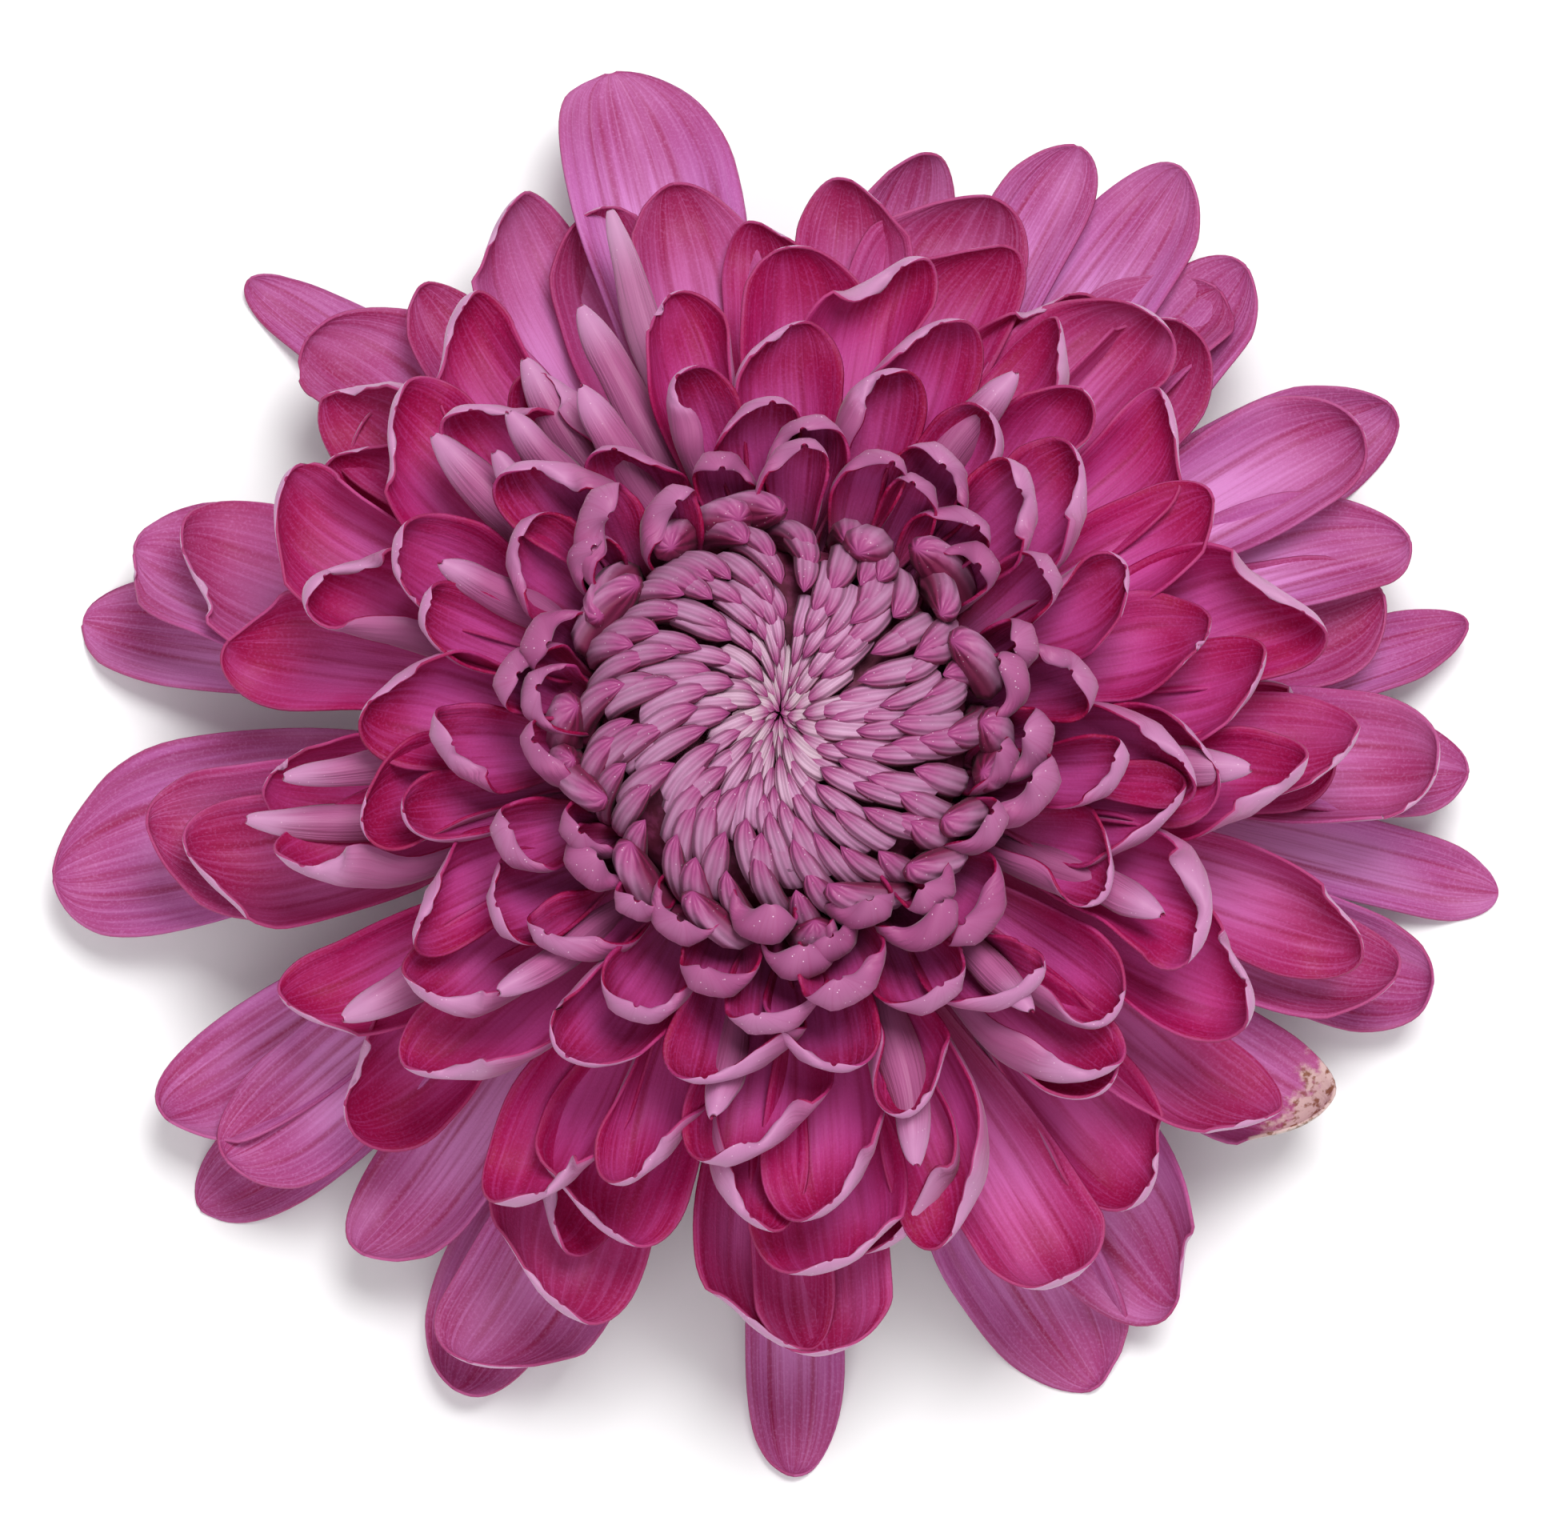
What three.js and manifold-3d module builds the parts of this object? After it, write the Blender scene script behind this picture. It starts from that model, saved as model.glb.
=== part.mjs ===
// Bloom of a disbud chrysanthemum, cut just under the head and set down face up.
// Millimetres, +Z up. The bloom rests on the undersides of its lowest florets and on its cut stalk.
import * as THREE from "three";
import { mergeVertices } from "three/addons/utils/BufferGeometryUtils.js";
import Module from "manifold-3d";

// Driving dimensions of the bloom
const BLOOM_RADIUS = 62;
const INNER_REACH = 22;
const CREST_HEIGHT = 43;
const CREST_REACH = 17;
const CREST_DROP = 0.88;
const RESTING_HEIGHT = 0;
const CLEARANCE = 0.3;

// Stalk and involucre, the green cup of bracts under the head
const STALK_RADIUS = 3.3;
const STALK_HEIGHT = 6;
const INVOLUCRE_RADIUS = 13;
const INVOLUCRE_TOP = 16.5;
const BRACTS_IN_A_ROW = 12;
const BRACT_WIDTH = 5.2;
const BRACT_THICKNESS = 1.2;

// Ray florets: a pair of numbers holds for the outermost and for the innermost floret
const BLADE_THICKNESS = 1.05;
const ROOT_RADIUS = [11.5, 14];
const ROOT_HEIGHT = [19, 30.5];
const START_ANGLE = [4, 80];
const END_ANGLE = [-16, 70];
const HOOK_RADIUS = [6, 2.4];
const TIP_ANGLE = [35, 140];
const CUP_ANGLE = [38, 84];
const SIDEWAYS = [5, 1.5];
const LOWER_SIDE_TIP = 14;
const HOOD = 45;
const LEAST_HOOK = 0.3;
const FOLDED = { from: 0.92, reach: 27, halfWidth: 1.9, cup: 130, roll: 80 };
const CLAW = { width: 0.32, from: 0.08, to: 0.74, fold: 0.5 };
const TIP = { from: 0.83, roundness: 2.6, bluntness: 0.1 };
const RAY_STATIONS = [0, 0.36, 0.68, 0.88, 1];

// The florets set one by one are fuller than listed, and the upper ones lie in turn above and below
const FULLNESS = 1.26;
const SHINGLE = 1.2;

// The florets set by the golden angle: reach and width from the first to the last
const RULED_FLORETS = 86;
const RULED_REACH = [48, 20.8];
const RULED_WIDTH = [11.8, 5];
const CROWN_RING = 0.84;
const UPHILL_REACH = 0.06;
const GOLDEN_ANGLE = 137.508;

// Centre florets, packed in a domed button with a dimple: a pair of numbers holds for the finger
// nearest the dimple and for the outermost one
const BUTTON_RADIUS = 19.5;
const BUTTON_FLOOR = 33;
const BUTTON_WAIST = 36.5;
const BUTTON_CROWN = 11;
const DIMPLE_DEPTH = 2.6;
const DIMPLE_RADIUS = 5;
const FINGERS = 52;
const OUTER_TIP = 13.5;
const FINGER_LENGTH = [3, 12.5];
const FINGER_HALF_WIDTH = [0.9, 2.8];
const FINGER_DEPTH = 0.5;
const FINGER_DIP = 0.22;
const FINGER_STATIONS = [0, 0.2, 0.58, 1];
const SWIRL = 16;
const CORE_DEPTH = 1.9;
const CORE_ANGLES = [100, 80, 60, 40, 20, 0];

// The outermost florets: bearing in degrees from +X towards +Y, reach, width, height of the tip,
// and how far the tip leans to the side of rising bearings
const OUTERMOST = [
  [1.6, 58, 9, 6, 0], [8, 61, 5, 3, 8.5], [24, 58, 9, 9, -4], [38.5, 64, 9, 0, -2], [46, 61, 9, 11, 3],
  [57.5, 65, 10, 8, -1], [68.5, 62, 7, 12, -2], [103, 66, 12, 7, 0], [128, 65, 6, 0, 9],
  [161, 60, 12, 10, -1], [162.5, 63, 9, 0, 2], [181.5, 63, 13, 4, 3], [206.5, 59, 9, 6, 2],
  [212.5, 57, 10, 9, 3.5], [216, 61, 8, 0, 0], [227.5, 53, 10, 8, 3], [243, 58, 9, 2, -2],
  [250, 54, 11, 7, -4], [271, 58, 6.5, 0, 1.7], [296.5, 57, 9, 0, 5], [308, 56, 11, 6, 1],
  [329, 54, 10, 8, 1], [344.5, 59, 8, 4, 0], [355, 63, 5.5, 0, -3],
];

// The florets above them, some with a lean of their own
const SECOND = [
  [4.5, 47, 10, 15], [19, 57, 9, 9], [30, 59, 10, 9, 1], [55, 58, 9, 12, -5], [49.5, 52, 9, 15, -1],
  [62, 48, 9, 19], [74, 53.5, 11, 12], [76.3, 57, 8, 9], [82.5, 52, 8, 14], [90, 48, 8, 18],
  [99.5, 53, 8.5, 13, 0], [109, 53, 9, 12], [116, 56, 9, 9, 0], [122.7, 52, 8, 14, 2],
  [131.5, 56, 10, 9, 2], [141.5, 46.5, 9, 20, 0], [147, 47.5, 9, 20], [162, 56, 10, 10],
  [164.5, 48, 9, 19], [183.5, 43, 7, 24], [187, 54, 10, 13, 0], [191.5, 50.5, 11, 18, 0],
  [209, 46, 9, 20], [218, 46.5, 10, 19, 0], [237, 43.5, 9, 23], [245, 49.5, 11, 19, 0],
  [250, 43, 10, 23], [267, 49, 8.5, 19, 0], [275, 50.5, 9, 17, 0], [287, 42, 10, 24],
  [295.5, 50, 9, 18, 3], [309, 47.5, 10, 18, 2], [323, 50, 9, 16, 0], [340.6, 55, 8, 12, 0],
  [345, 51, 9, 16, 0], [359, 55, 10, 12, 0],
];

const wasm = await Module();
wasm.setup();

const radians = THREE.MathUtils.degToRad;
const { clamp, lerp, smoothstep } = THREE.MathUtils;
const UPWARDS = new THREE.Vector3(0, 0, 1);

// A repeatable number from 0 to 1 for each floret and trait
function chance(floret, trait) {
  const wave = Math.sin(floret * 12.9898 + trait * 78.233) * 43758.5453;
  return wave - Math.floor(wave);
}

// The same number spread evenly on both sides of zero
function spread(floret, trait, most) {
  return (chance(floret, trait) * 2 - 1) * most;
}

// A closed solid of a geometry whose shared vertices are merged
function solidOf(geometry) {
  const bare = new THREE.BufferGeometry().setAttribute("position", geometry.getAttribute("position"));
  bare.setIndex(geometry.getIndex());
  const merged = mergeVertices(bare, 1e-4);
  return new wasm.Manifold(
    new wasm.Mesh({
      numProp: 3,
      vertProperties: merged.attributes.position.array,
      triVerts: new Uint32Array(merged.index.array),
    }),
  );
}

// The vertices and triangles of a solid, with faces flat shaded
function geometryOf(solid) {
  const { vertProperties, triVerts } = solid.getMesh();
  const geometry = new THREE.BufferGeometry();
  geometry.setAttribute("position", new THREE.BufferAttribute(vertProperties, 3));
  geometry.setIndex(new THREE.BufferAttribute(triVerts, 1));
  const flat = geometry.toNonIndexed();
  flat.computeVertexNormals();
  return flat;
}

// A solid turned about the vertical axis from a profile of [radius, height] points
function turned(profile, sides) {
  const points = profile.map(([radius, height]) => new THREE.Vector2(radius, height));
  const lathe = new THREE.LatheGeometry(points, sides);
  return solidOf(lathe.rotateX(Math.PI / 2));
}

// Closes a row of equal rings of points into one geometry, ring after ring, with flat ends
function loft(rings) {
  const sides = rings[0].length;
  const positions = rings.flat().flatMap((point) => [point.x, point.y, point.z]);
  const index = [];
  for (let ring = 0; ring + 1 < rings.length; ring += 1) {
    for (let side = 0; side < sides; side += 1) {
      const a = ring * sides + side;
      const b = ring * sides + ((side + 1) % sides);
      const mirrored = side % 2 === 1;
      if (mirrored) index.push(a, b, b + sides, a, b + sides, a + sides);
      else index.push(a, b, a + sides, b, b + sides, a + sides);
    }
  }
  const last = (rings.length - 1) * sides;
  for (let side = 1; side + 1 < sides; side += 1) {
    index.push(0, side + 1, side);
    index.push(last, last + side, last + side + 1);
  }
  const geometry = new THREE.BufferGeometry();
  geometry.setAttribute("position", new THREE.Float32BufferAttribute(positions, 3));
  geometry.setIndex(index);
  return geometry;
}

// How far in a floret lies: 0 at the rim of the bloom, 1 at the innermost ray
function inwardness(reach) {
  return clamp((BLOOM_RADIUS - reach) / (BLOOM_RADIUS - INNER_REACH), 0, 1);
}

// The height of a tip on the domed face of the bloom
function crestAt(reach) {
  const outward = clamp((reach - CREST_REACH) / (BLOOM_RADIUS - CREST_REACH), 0, 1);
  return CREST_HEIGHT * (1 - CREST_DROP * outward ** 1.6);
}

// Where the tip of a floret points, in degrees: further over on the lower side and near the button
function tipAngle(index, bearing, inward) {
  const lower = -Math.sin(radians(bearing));
  const hooded = Math.max(inward - 0.8, 0) / 0.2;
  return lerp(...TIP_ANGLE, inward ** 0.4) + LOWER_SIDE_TIP * lower + HOOD * hooded + spread(index, 3, 18);
}

// Everything that shapes one ray floret, from where its tip lies
function rayFloret({ index, bearing, reach, width, crest, lean, lift = 0 }) {
  const inward = inwardness(reach);
  const endAngle = radians(lerp(...END_ANGLE, inward ** 1.3) + spread(index, 2, 10));
  return {
    bearing: radians(bearing),
    reach,
    crest: crest + lift,
    halfWidth: width / 2,
    baseRadius: lerp(...ROOT_RADIUS, inward),
    baseHeight: lerp(...ROOT_HEIGHT, inward ** 0.9) + 0.7 * lift,
    startAngle: radians(lerp(...START_ANGLE, inward ** 1.1) + spread(index, 1, 6)),
    endAngle,
    hookRadius: lerp(...HOOK_RADIUS, inward ** 0.7),
    hookAngle: Math.max(radians(tipAngle(index, bearing, inward)) - endAngle, LEAST_HOOK),
    cup: radians(lerp(...CUP_ANGLE, inward ** 1.1) + spread(index, 4, 12)),
    roll: radians(spread(index, 5, 24)),
    lean: lean ?? spread(index, 6, lerp(...SIDEWAYS, inward)),
    skew: spread(index, 10, 0.45),
  };
}

// A floret whose edges have rolled together, so that its reverse shows
function folded(floret, index) {
  const roll = radians(Math.sign(spread(index, 19, 1)) * FOLDED.roll);
  return { ...floret, halfWidth: FOLDED.halfWidth, cup: radians(FOLDED.cup), roll };
}

// A floret whose place is listed
function listedFloret([bearing, reach, listedWidth, crest, lean], index) {
  const width = listedWidth * FULLNESS * (1 + spread(index, 8, 0.12));
  const lift = index < OUTERMOST.length ? 0 : SHINGLE * (-1) ** index;
  return rayFloret({ index, bearing, reach, width, crest, lean, lift });
}

// A floret whose place follows from the golden angle
function ruledFloret(step) {
  const index = OUTERMOST.length + SECOND.length + step;
  const bearing = step * GOLDEN_ANGLE + spread(index, 13, 4);
  const along = step / (RULED_FLORETS - 1);
  const inwards = Math.min(along / CROWN_RING, 1) ** 0.95;
  const mean = lerp(...RULED_REACH, inwards) + spread(index, 7, 1.5);
  const reach = mean * (1 + UPHILL_REACH * Math.sin(radians(bearing)));
  const width = lerp(...RULED_WIDTH, along ** 1.2) * (1 + spread(index, 8, 0.16));
  const crest = crestAt(reach) + spread(index, 9, 1.2);
  const floret = rayFloret({ index, bearing, reach, width, crest });
  const rolledUp = chance(index, 12) > FOLDED.from && reach > FOLDED.reach;
  return rolledUp ? folded(floret, index) : floret;
}

// The midrib of a ray floret, as a function from 0 at its root to 1 at its tip
function midrib(floret) {
  const { reach, crest, hookRadius, hookAngle, startAngle, endAngle } = floret;
  const turnedTo = Math.min(endAngle + hookAngle, Math.PI / 2);
  const setback = hookRadius * (Math.sin(turnedTo) - Math.sin(endAngle));
  const root = new THREE.Vector2(floret.baseRadius, floret.baseHeight);
  const bend = new THREE.Vector2(reach - setback, crest);
  const handle = 0.4 * root.distanceTo(bend);
  const out = new THREE.Vector2(Math.cos(startAngle), Math.sin(startAngle)).multiplyScalar(handle);
  const back = new THREE.Vector2(Math.cos(endAngle), Math.sin(endAngle)).multiplyScalar(handle);
  const curve = new THREE.CubicBezierCurve(root, root.clone().add(out), bend.clone().sub(back), bend);
  const straight = curve.getLength();
  const length = straight + hookRadius * hookAngle;
  return (along) => {
    const travelled = along * length;
    if (travelled <= straight) {
      const share = travelled / straight;
      const tangent = curve.getTangentAt(share);
      return { point: curve.getPointAt(share), slope: Math.atan2(tangent.y, tangent.x) };
    }
    const angle = endAngle + (travelled - straight) / hookRadius;
    const point = new THREE.Vector2(
      bend.x + hookRadius * (Math.sin(angle) - Math.sin(endAngle)),
      bend.y + hookRadius * (Math.cos(endAngle) - Math.cos(angle)),
    );
    return { point, slope: angle };
  };
}

// How far past the start of its rounded tip a station lies, from 0 to 1
function pastShoulder(along) {
  return clamp((along - TIP.from) / (1 - TIP.from), 0, 1);
}

// Half the girth of a ray floret: a narrow claw, widest past the middle, with a rounded tip
function rayHalfGirth(floret, along) {
  const opened = (floret.halfWidth * floret.cup) / Math.sin(Math.min(floret.cup, Math.PI / 2));
  const claw = lerp(CLAW.width, 1, smoothstep(along, CLAW.from, CLAW.to));
  const rounded = Math.sqrt(Math.max(1 - pastShoulder(along) ** TIP.roundness, TIP.bluntness));
  return Math.max(opened * claw * rounded, BLADE_THICKNESS / 2);
}

// How deeply a ray floret is cupped: a folded claw, then an open blade
function rayCup(floret, along) {
  return floret.cup * (1 + CLAW.fold * (1 - smoothstep(along, 0, 0.5)));
}

// One station of a ray floret: left edge, ridge underneath, right edge, hollow on top
function raySection(floret, rib, along) {
  const { point, slope } = rib(along);
  const half = rayHalfGirth(floret, along);
  const cup = rayCup(floret, along);
  const side = (half * Math.sin(cup)) / cup;
  const rise = (half * (1 - Math.cos(cup))) / cup;
  const thick = BLADE_THICKNESS / 2;
  const roll = floret.roll * along;
  const drift = floret.lean * along ** 2 + floret.skew * floret.halfWidth * pastShoulder(along) ** 2;
  const place = (across, up) => {
    const turnedAcross = across * Math.cos(roll) - up * Math.sin(roll);
    const turnedUp = across * Math.sin(roll) + up * Math.cos(roll);
    return new THREE.Vector3(
      point.x - turnedUp * Math.sin(slope),
      turnedAcross + drift,
      point.y + turnedUp * Math.cos(slope),
    ).applyAxisAngle(UPWARDS, floret.bearing);
  };
  return [place(-side, rise), place(0, -thick), place(side, rise), place(0, thick)];
}

// One ray floret
function raySolid(floret) {
  const rib = midrib(floret);
  return solidOf(loft(RAY_STATIONS.map((along) => raySection(floret, rib, along))));
}

// The part of the receptacle and the packed claws that the ray florets grow from
function rayCore() {
  return turned(
    [
      [0, INVOLUCRE_TOP + CLEARANCE],
      [12, INVOLUCRE_TOP + CLEARANCE],
      [15, 19],
      [16.6, 24],
      [16.6, 30],
      [15, BUTTON_FLOOR - CLEARANCE],
      [0, BUTTON_FLOOR - CLEARANCE],
    ],
    22,
  );
}

// The height of the button's face over a point at a radius, told by its angle from the crown
function buttonPoint(angle, depth) {
  const radius = (BUTTON_RADIUS - depth) * Math.sin(angle);
  const dimple = DIMPLE_DEPTH * Math.exp(-((radius / DIMPLE_RADIUS) ** 2));
  return new THREE.Vector2(radius, BUTTON_WAIST + (BUTTON_CROWN - depth) * Math.cos(angle) - dimple);
}

// Everything that shapes one finger of the button, the first one nearest the dimple
function finger(index) {
  const outward = (index + 0.5) / FINGERS;
  const tipRadius = OUTER_TIP * outward ** 1.08 * (1 + spread(index, 14, 0.09));
  return {
    bearing: radians(index * GOLDEN_ANGLE + spread(index, 18, 5)),
    tipAngle: Math.asin(tipRadius / BUTTON_RADIUS),
    length: lerp(...FINGER_LENGTH, outward ** 0.9) * (1 + spread(index, 15, 0.1)),
    halfWidth: lerp(...FINGER_HALF_WIDTH, outward ** 0.85) * (1 + spread(index, 16, 0.14)),
    swirl: radians(SWIRL + spread(index, 11, 12)),
  };
}

// One station of a finger, from 0 at its tip: left edge, underside, right edge, back
function fingerSection(shape, along) {
  const angle = shape.tipAngle + (shape.length * along) / BUTTON_RADIUS;
  const half = shape.halfWidth * Math.sqrt(1 - (1 - Math.min(along / 0.5, 0.98)) ** 2.2);
  const thick = 0.42 * half + 0.35;
  const depth = FINGER_DEPTH + FINGER_DIP * shape.length * along;
  const middle = buttonPoint(angle, depth);
  const ahead = buttonPoint(angle + 0.02, depth);
  const slope = Math.atan2(ahead.y - middle.y, ahead.x - middle.x);
  const bearing = shape.bearing + shape.swirl * along;
  const place = (across, up) => {
    const flat = new THREE.Vector3(middle.x - up * Math.sin(slope), across, middle.y + up * Math.cos(slope));
    return flat.applyAxisAngle(UPWARDS, bearing);
  };
  return [place(-half, 0), place(0, -thick), place(half, 0), place(0, thick)];
}

// One finger of the button
function fingerSolid(index) {
  const shape = finger(index);
  return solidOf(loft(FINGER_STATIONS.map((along) => fingerSection(shape, along))));
}

// The packed bases under the fingers
function buttonCore() {
  const floor = BUTTON_FLOOR + CLEARANCE / 2;
  const face = CORE_ANGLES.map((angle) => buttonPoint(radians(angle), CORE_DEPTH).toArray());
  return turned([[0, floor], [14, floor], ...face], 16);
}

// The room of the button in the middle of the rays, larger by a margin
function buttonRoom(margin) {
  return turned(
    [
      [0, BUTTON_FLOOR - margin],
      [15 + margin, BUTTON_FLOOR - margin],
      [19 + margin, 37],
      [19 + margin, 42],
      [16 + margin, 46.5 + margin],
      [10, 49 + margin],
      [0, 49 + margin],
    ],
    18,
  );
}

// The stalk and the cup of the involucre
function stalkAndCup() {
  return turned(
    [
      [0, RESTING_HEIGHT],
      [STALK_RADIUS, RESTING_HEIGHT],
      [STALK_RADIUS * 0.94, STALK_HEIGHT * 0.5],
      [STALK_RADIUS * 1.1, STALK_HEIGHT],
      [INVOLUCRE_RADIUS * 0.62, 8.6],
      [INVOLUCRE_RADIUS * 0.9, 12],
      [INVOLUCRE_RADIUS, INVOLUCRE_TOP],
      [0, INVOLUCRE_TOP],
    ],
    12,
  );
}

// One bract of a row: a pointed scale that follows the cup from its rooted end to its tip
function bractSolid(row, step) {
  const [from, via, to] = [
    [new THREE.Vector2(4.2, 7.6), new THREE.Vector2(10.2, 7.6), new THREE.Vector2(12.3, 12.4)],
    [new THREE.Vector2(8.8, 9.6), new THREE.Vector2(13.6, 11), new THREE.Vector2(13.9, 16.3)],
  ][row];
  const curve = new THREE.QuadraticBezierCurve(from, via, to);
  const bearing = ((step + row / 2) / BRACTS_IN_A_ROW) * 2 * Math.PI;
  const rings = [0, 0.5, 1].map((along) => {
    const point = curve.getPoint(along);
    const tangent = curve.getTangent(along);
    const half = (BRACT_WIDTH / 2) * [0.6, 1, 0.1][Math.round(along * 2)];
    const thick = BRACT_THICKNESS / 2;
    const place = (across, out) =>
      new THREE.Vector3(point.x + out * tangent.y, across, point.y - out * tangent.x).applyAxisAngle(
        UPWARDS,
        bearing,
      );
    return [place(-half, -thick), place(0, -thick), place(half, -thick), place(0, thick)].reverse();
  });
  return solidOf(loft(rings));
}

// A block under the surface that the bloom rests on
function ground() {
  const block = new THREE.BoxGeometry(4 * BLOOM_RADIUS, 4 * BLOOM_RADIUS, 60);
  block.translate(0, 0, RESTING_HEIGHT - 30);
  return solidOf(block);
}

// Joins solids into one
function joined(solids) {
  return solids.reduce((whole, solid) => whole.add(solid));
}

// The largest body of a solid, without scraps that a cut left loose
function largest(solid) {
  return solid.decompose().sort((a, b) => b.volume() - a.volume())[0];
}

// Counts up from 0
function steps(count) {
  return Array.from({ length: count }, (_, index) => index);
}

// A named mesh of one solid in its own colour
function piece(name, solid, colour, roughness) {
  const material = new THREE.MeshStandardMaterial({ color: colour, roughness, metalness: 0 });
  const mesh = new THREE.Mesh(geometryOf(solid), material);
  mesh.name = name;
  return mesh;
}

const florets = [...[...OUTERMOST, ...SECOND].map(listedFloret), ...steps(RULED_FLORETS).map(ruledFloret)];
const head = joined([rayCore(), ...florets.map(raySolid)]);
const rays = head.subtract(ground()).subtract(buttonRoom(CLEARANCE));
const button = joined([buttonCore(), ...steps(FINGERS).map(fingerSolid)]).intersect(buttonRoom(0));
const bracts = [0, 1].flatMap((row) => steps(BRACTS_IN_A_ROW).map((step) => bractSolid(row, step)));
const green = joined([stalkAndCup(), ...bracts]);

const bloom = new THREE.Group();
bloom.add(piece("ray_florets", largest(rays), 0xa13a78, 0.55));
bloom.add(piece("centre_florets", largest(button), 0x8a4a70, 0.6));
bloom.add(piece("stem_and_bracts", largest(green), 0x6f8a45, 0.7));

// The origin is on the surface, under the middle of the bloom's box
const box = new THREE.Box3().setFromObject(bloom, true);
const middle = box.getCenter(new THREE.Vector3());
bloom.position.set(-middle.x, -middle.y, -box.min.z);

export default bloom;
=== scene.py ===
"""The looks of a disbud chrysanthemum bloom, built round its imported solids.

The classes that shape pieces work in millimetres, and a mesh is written in metres. Finishes and lamps
are in metres throughout.
"""

import logging
import math
from collections.abc import Callable
from dataclasses import dataclass
from enum import Enum, IntEnum

import bpy
import numpy as np
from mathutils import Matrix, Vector


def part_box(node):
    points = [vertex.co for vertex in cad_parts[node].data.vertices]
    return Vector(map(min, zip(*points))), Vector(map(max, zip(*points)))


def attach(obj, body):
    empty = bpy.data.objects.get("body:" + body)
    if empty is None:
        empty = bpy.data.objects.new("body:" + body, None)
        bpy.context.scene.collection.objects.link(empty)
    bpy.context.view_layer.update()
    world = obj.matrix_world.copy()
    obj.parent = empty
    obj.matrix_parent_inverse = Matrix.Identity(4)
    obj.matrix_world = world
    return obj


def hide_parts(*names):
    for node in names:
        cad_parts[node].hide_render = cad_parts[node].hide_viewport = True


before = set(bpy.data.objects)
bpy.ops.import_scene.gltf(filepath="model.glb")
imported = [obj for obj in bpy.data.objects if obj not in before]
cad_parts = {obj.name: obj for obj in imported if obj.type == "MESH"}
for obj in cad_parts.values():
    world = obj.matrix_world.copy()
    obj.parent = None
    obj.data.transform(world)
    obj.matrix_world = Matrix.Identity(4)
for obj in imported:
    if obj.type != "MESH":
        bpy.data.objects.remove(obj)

LOG = logging.getLogger("bloom")
MM = 0.001
GOLDEN_ANGLE = 137.508
SPECK_SPACING = 0.0006
SMOOTH_ANGLE = math.radians(50)
DRAW_STEPS = (12.9898, 78.233)
DRAW_SCALE = 43758.5453
Piece = bpy.types.Object
Material = bpy.types.Material
Array = np.ndarray
Colour = tuple[float, float, float]
Range = tuple[float, float]
Point = tuple[float, float]


class Side(Enum):
    """The two faces of a petal, by their material slot."""

    FACE = 0
    REVERSE = 1


class Trait(IntEnum):
    """What a repeatable draw decides. Its number sets the draw apart from the others."""

    START = 1
    END = 2
    TIP = 3
    CUP = 4
    ROLL = 5
    LEAN = 6
    REACH = 7
    WIDTH = 8
    CREST = 9
    SKEW = 10
    FINGER_SWEEP = 11
    FOLD = 12
    BEARING = 13
    FINGER_TIP = 14
    FINGER_LENGTH = 15
    FINGER_WIDTH = 16
    FINGER_DEPTH = 17
    FINGER_BEARING = 18
    FOLD_SIDE = 19
    CURL = 20
    RIPPLES = 21
    RIPPLE_START = 22
    CURL_SIDE = 24
    BEAK = 25
    SHOULDER = 26
    ROUNDNESS = 27
    TWIST = 28
    POINT = 29
    FOLD_WIDTH = 30
    LUCK = 31
    FINGER_LUCK = 32
    BRACT_WIDTH = 41
    BRACT_BEARING = 42


def lerp(low: float, high: float, share: float) -> float:
    """The number a share of the way from low to high."""
    return low + (high - low) * share


def smoothstep(value: Array, low: float, high: float) -> Array:
    """An even S-shaped rise from 0 at low to 1 at high."""
    share = np.clip((value - low) / (high - low), 0.0, 1.0)
    return share * share * (3.0 - 2.0 * share)


def chance(floret: int, trait: Trait) -> float:
    """A repeatable number from 0 to 1 for each floret and trait."""
    wave = math.sin(floret * DRAW_STEPS[0] + trait * DRAW_STEPS[1]) * DRAW_SCALE
    return wave - math.floor(wave)


def spread(floret: int, trait: Trait, most: float) -> float:
    """The same number spread evenly on both sides of zero."""
    return (chance(floret, trait) * 2.0 - 1.0) * most


@dataclass(frozen=True)
class Change:
    """A size that goes from its first to its last value by a power of the way."""

    first: float
    last: float
    power: float = 1.0

    def at(self, share: float) -> float:
        """The size at a share of the way."""
        return lerp(self.first, self.last, share**self.power)


def turned(points: Array, bearing: float | Array, axis: Vector) -> Array:
    """Turns points about the bloom's axis and gives them in metres.

    Args:
        points: x outwards, y across and z up, in millimetres.
        bearing: the angle from +X, in radians.
        axis: the foot of the bloom's axis, in metres.

    Returns:
        The points in the frame of the solids.
    """
    x = points[:, 0] * np.cos(bearing) - points[:, 1] * np.sin(bearing)
    y = points[:, 0] * np.sin(bearing) + points[:, 1] * np.cos(bearing)
    return np.stack([x * MM + axis.x, y * MM + axis.y, points[:, 2] * MM], axis=1)


def pick(*objects: Piece) -> None:
    """Selects only these objects and makes the first one active."""
    bpy.ops.object.select_all(action="DESELECT")
    for item in objects:
        item.select_set(True)
    bpy.context.view_layer.objects.active = objects[0]


def added(primitive: Callable[..., object], **settings: object) -> Piece:
    """Adds one primitive, selected alone.

    Args:
        primitive: the operator that adds it.
        settings: the operator's properties by name.

    Returns:
        The new object.
    """
    bpy.ops.object.select_all(action="DESELECT")
    primitive(**settings)
    return bpy.context.object


def vertices_of(piece: Piece) -> Array:
    """The vertices of a mesh object, one row each."""
    flat = np.zeros(len(piece.data.vertices) * 3)
    piece.data.vertices.foreach_get("co", flat)
    return flat.reshape(-1, 3)


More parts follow.
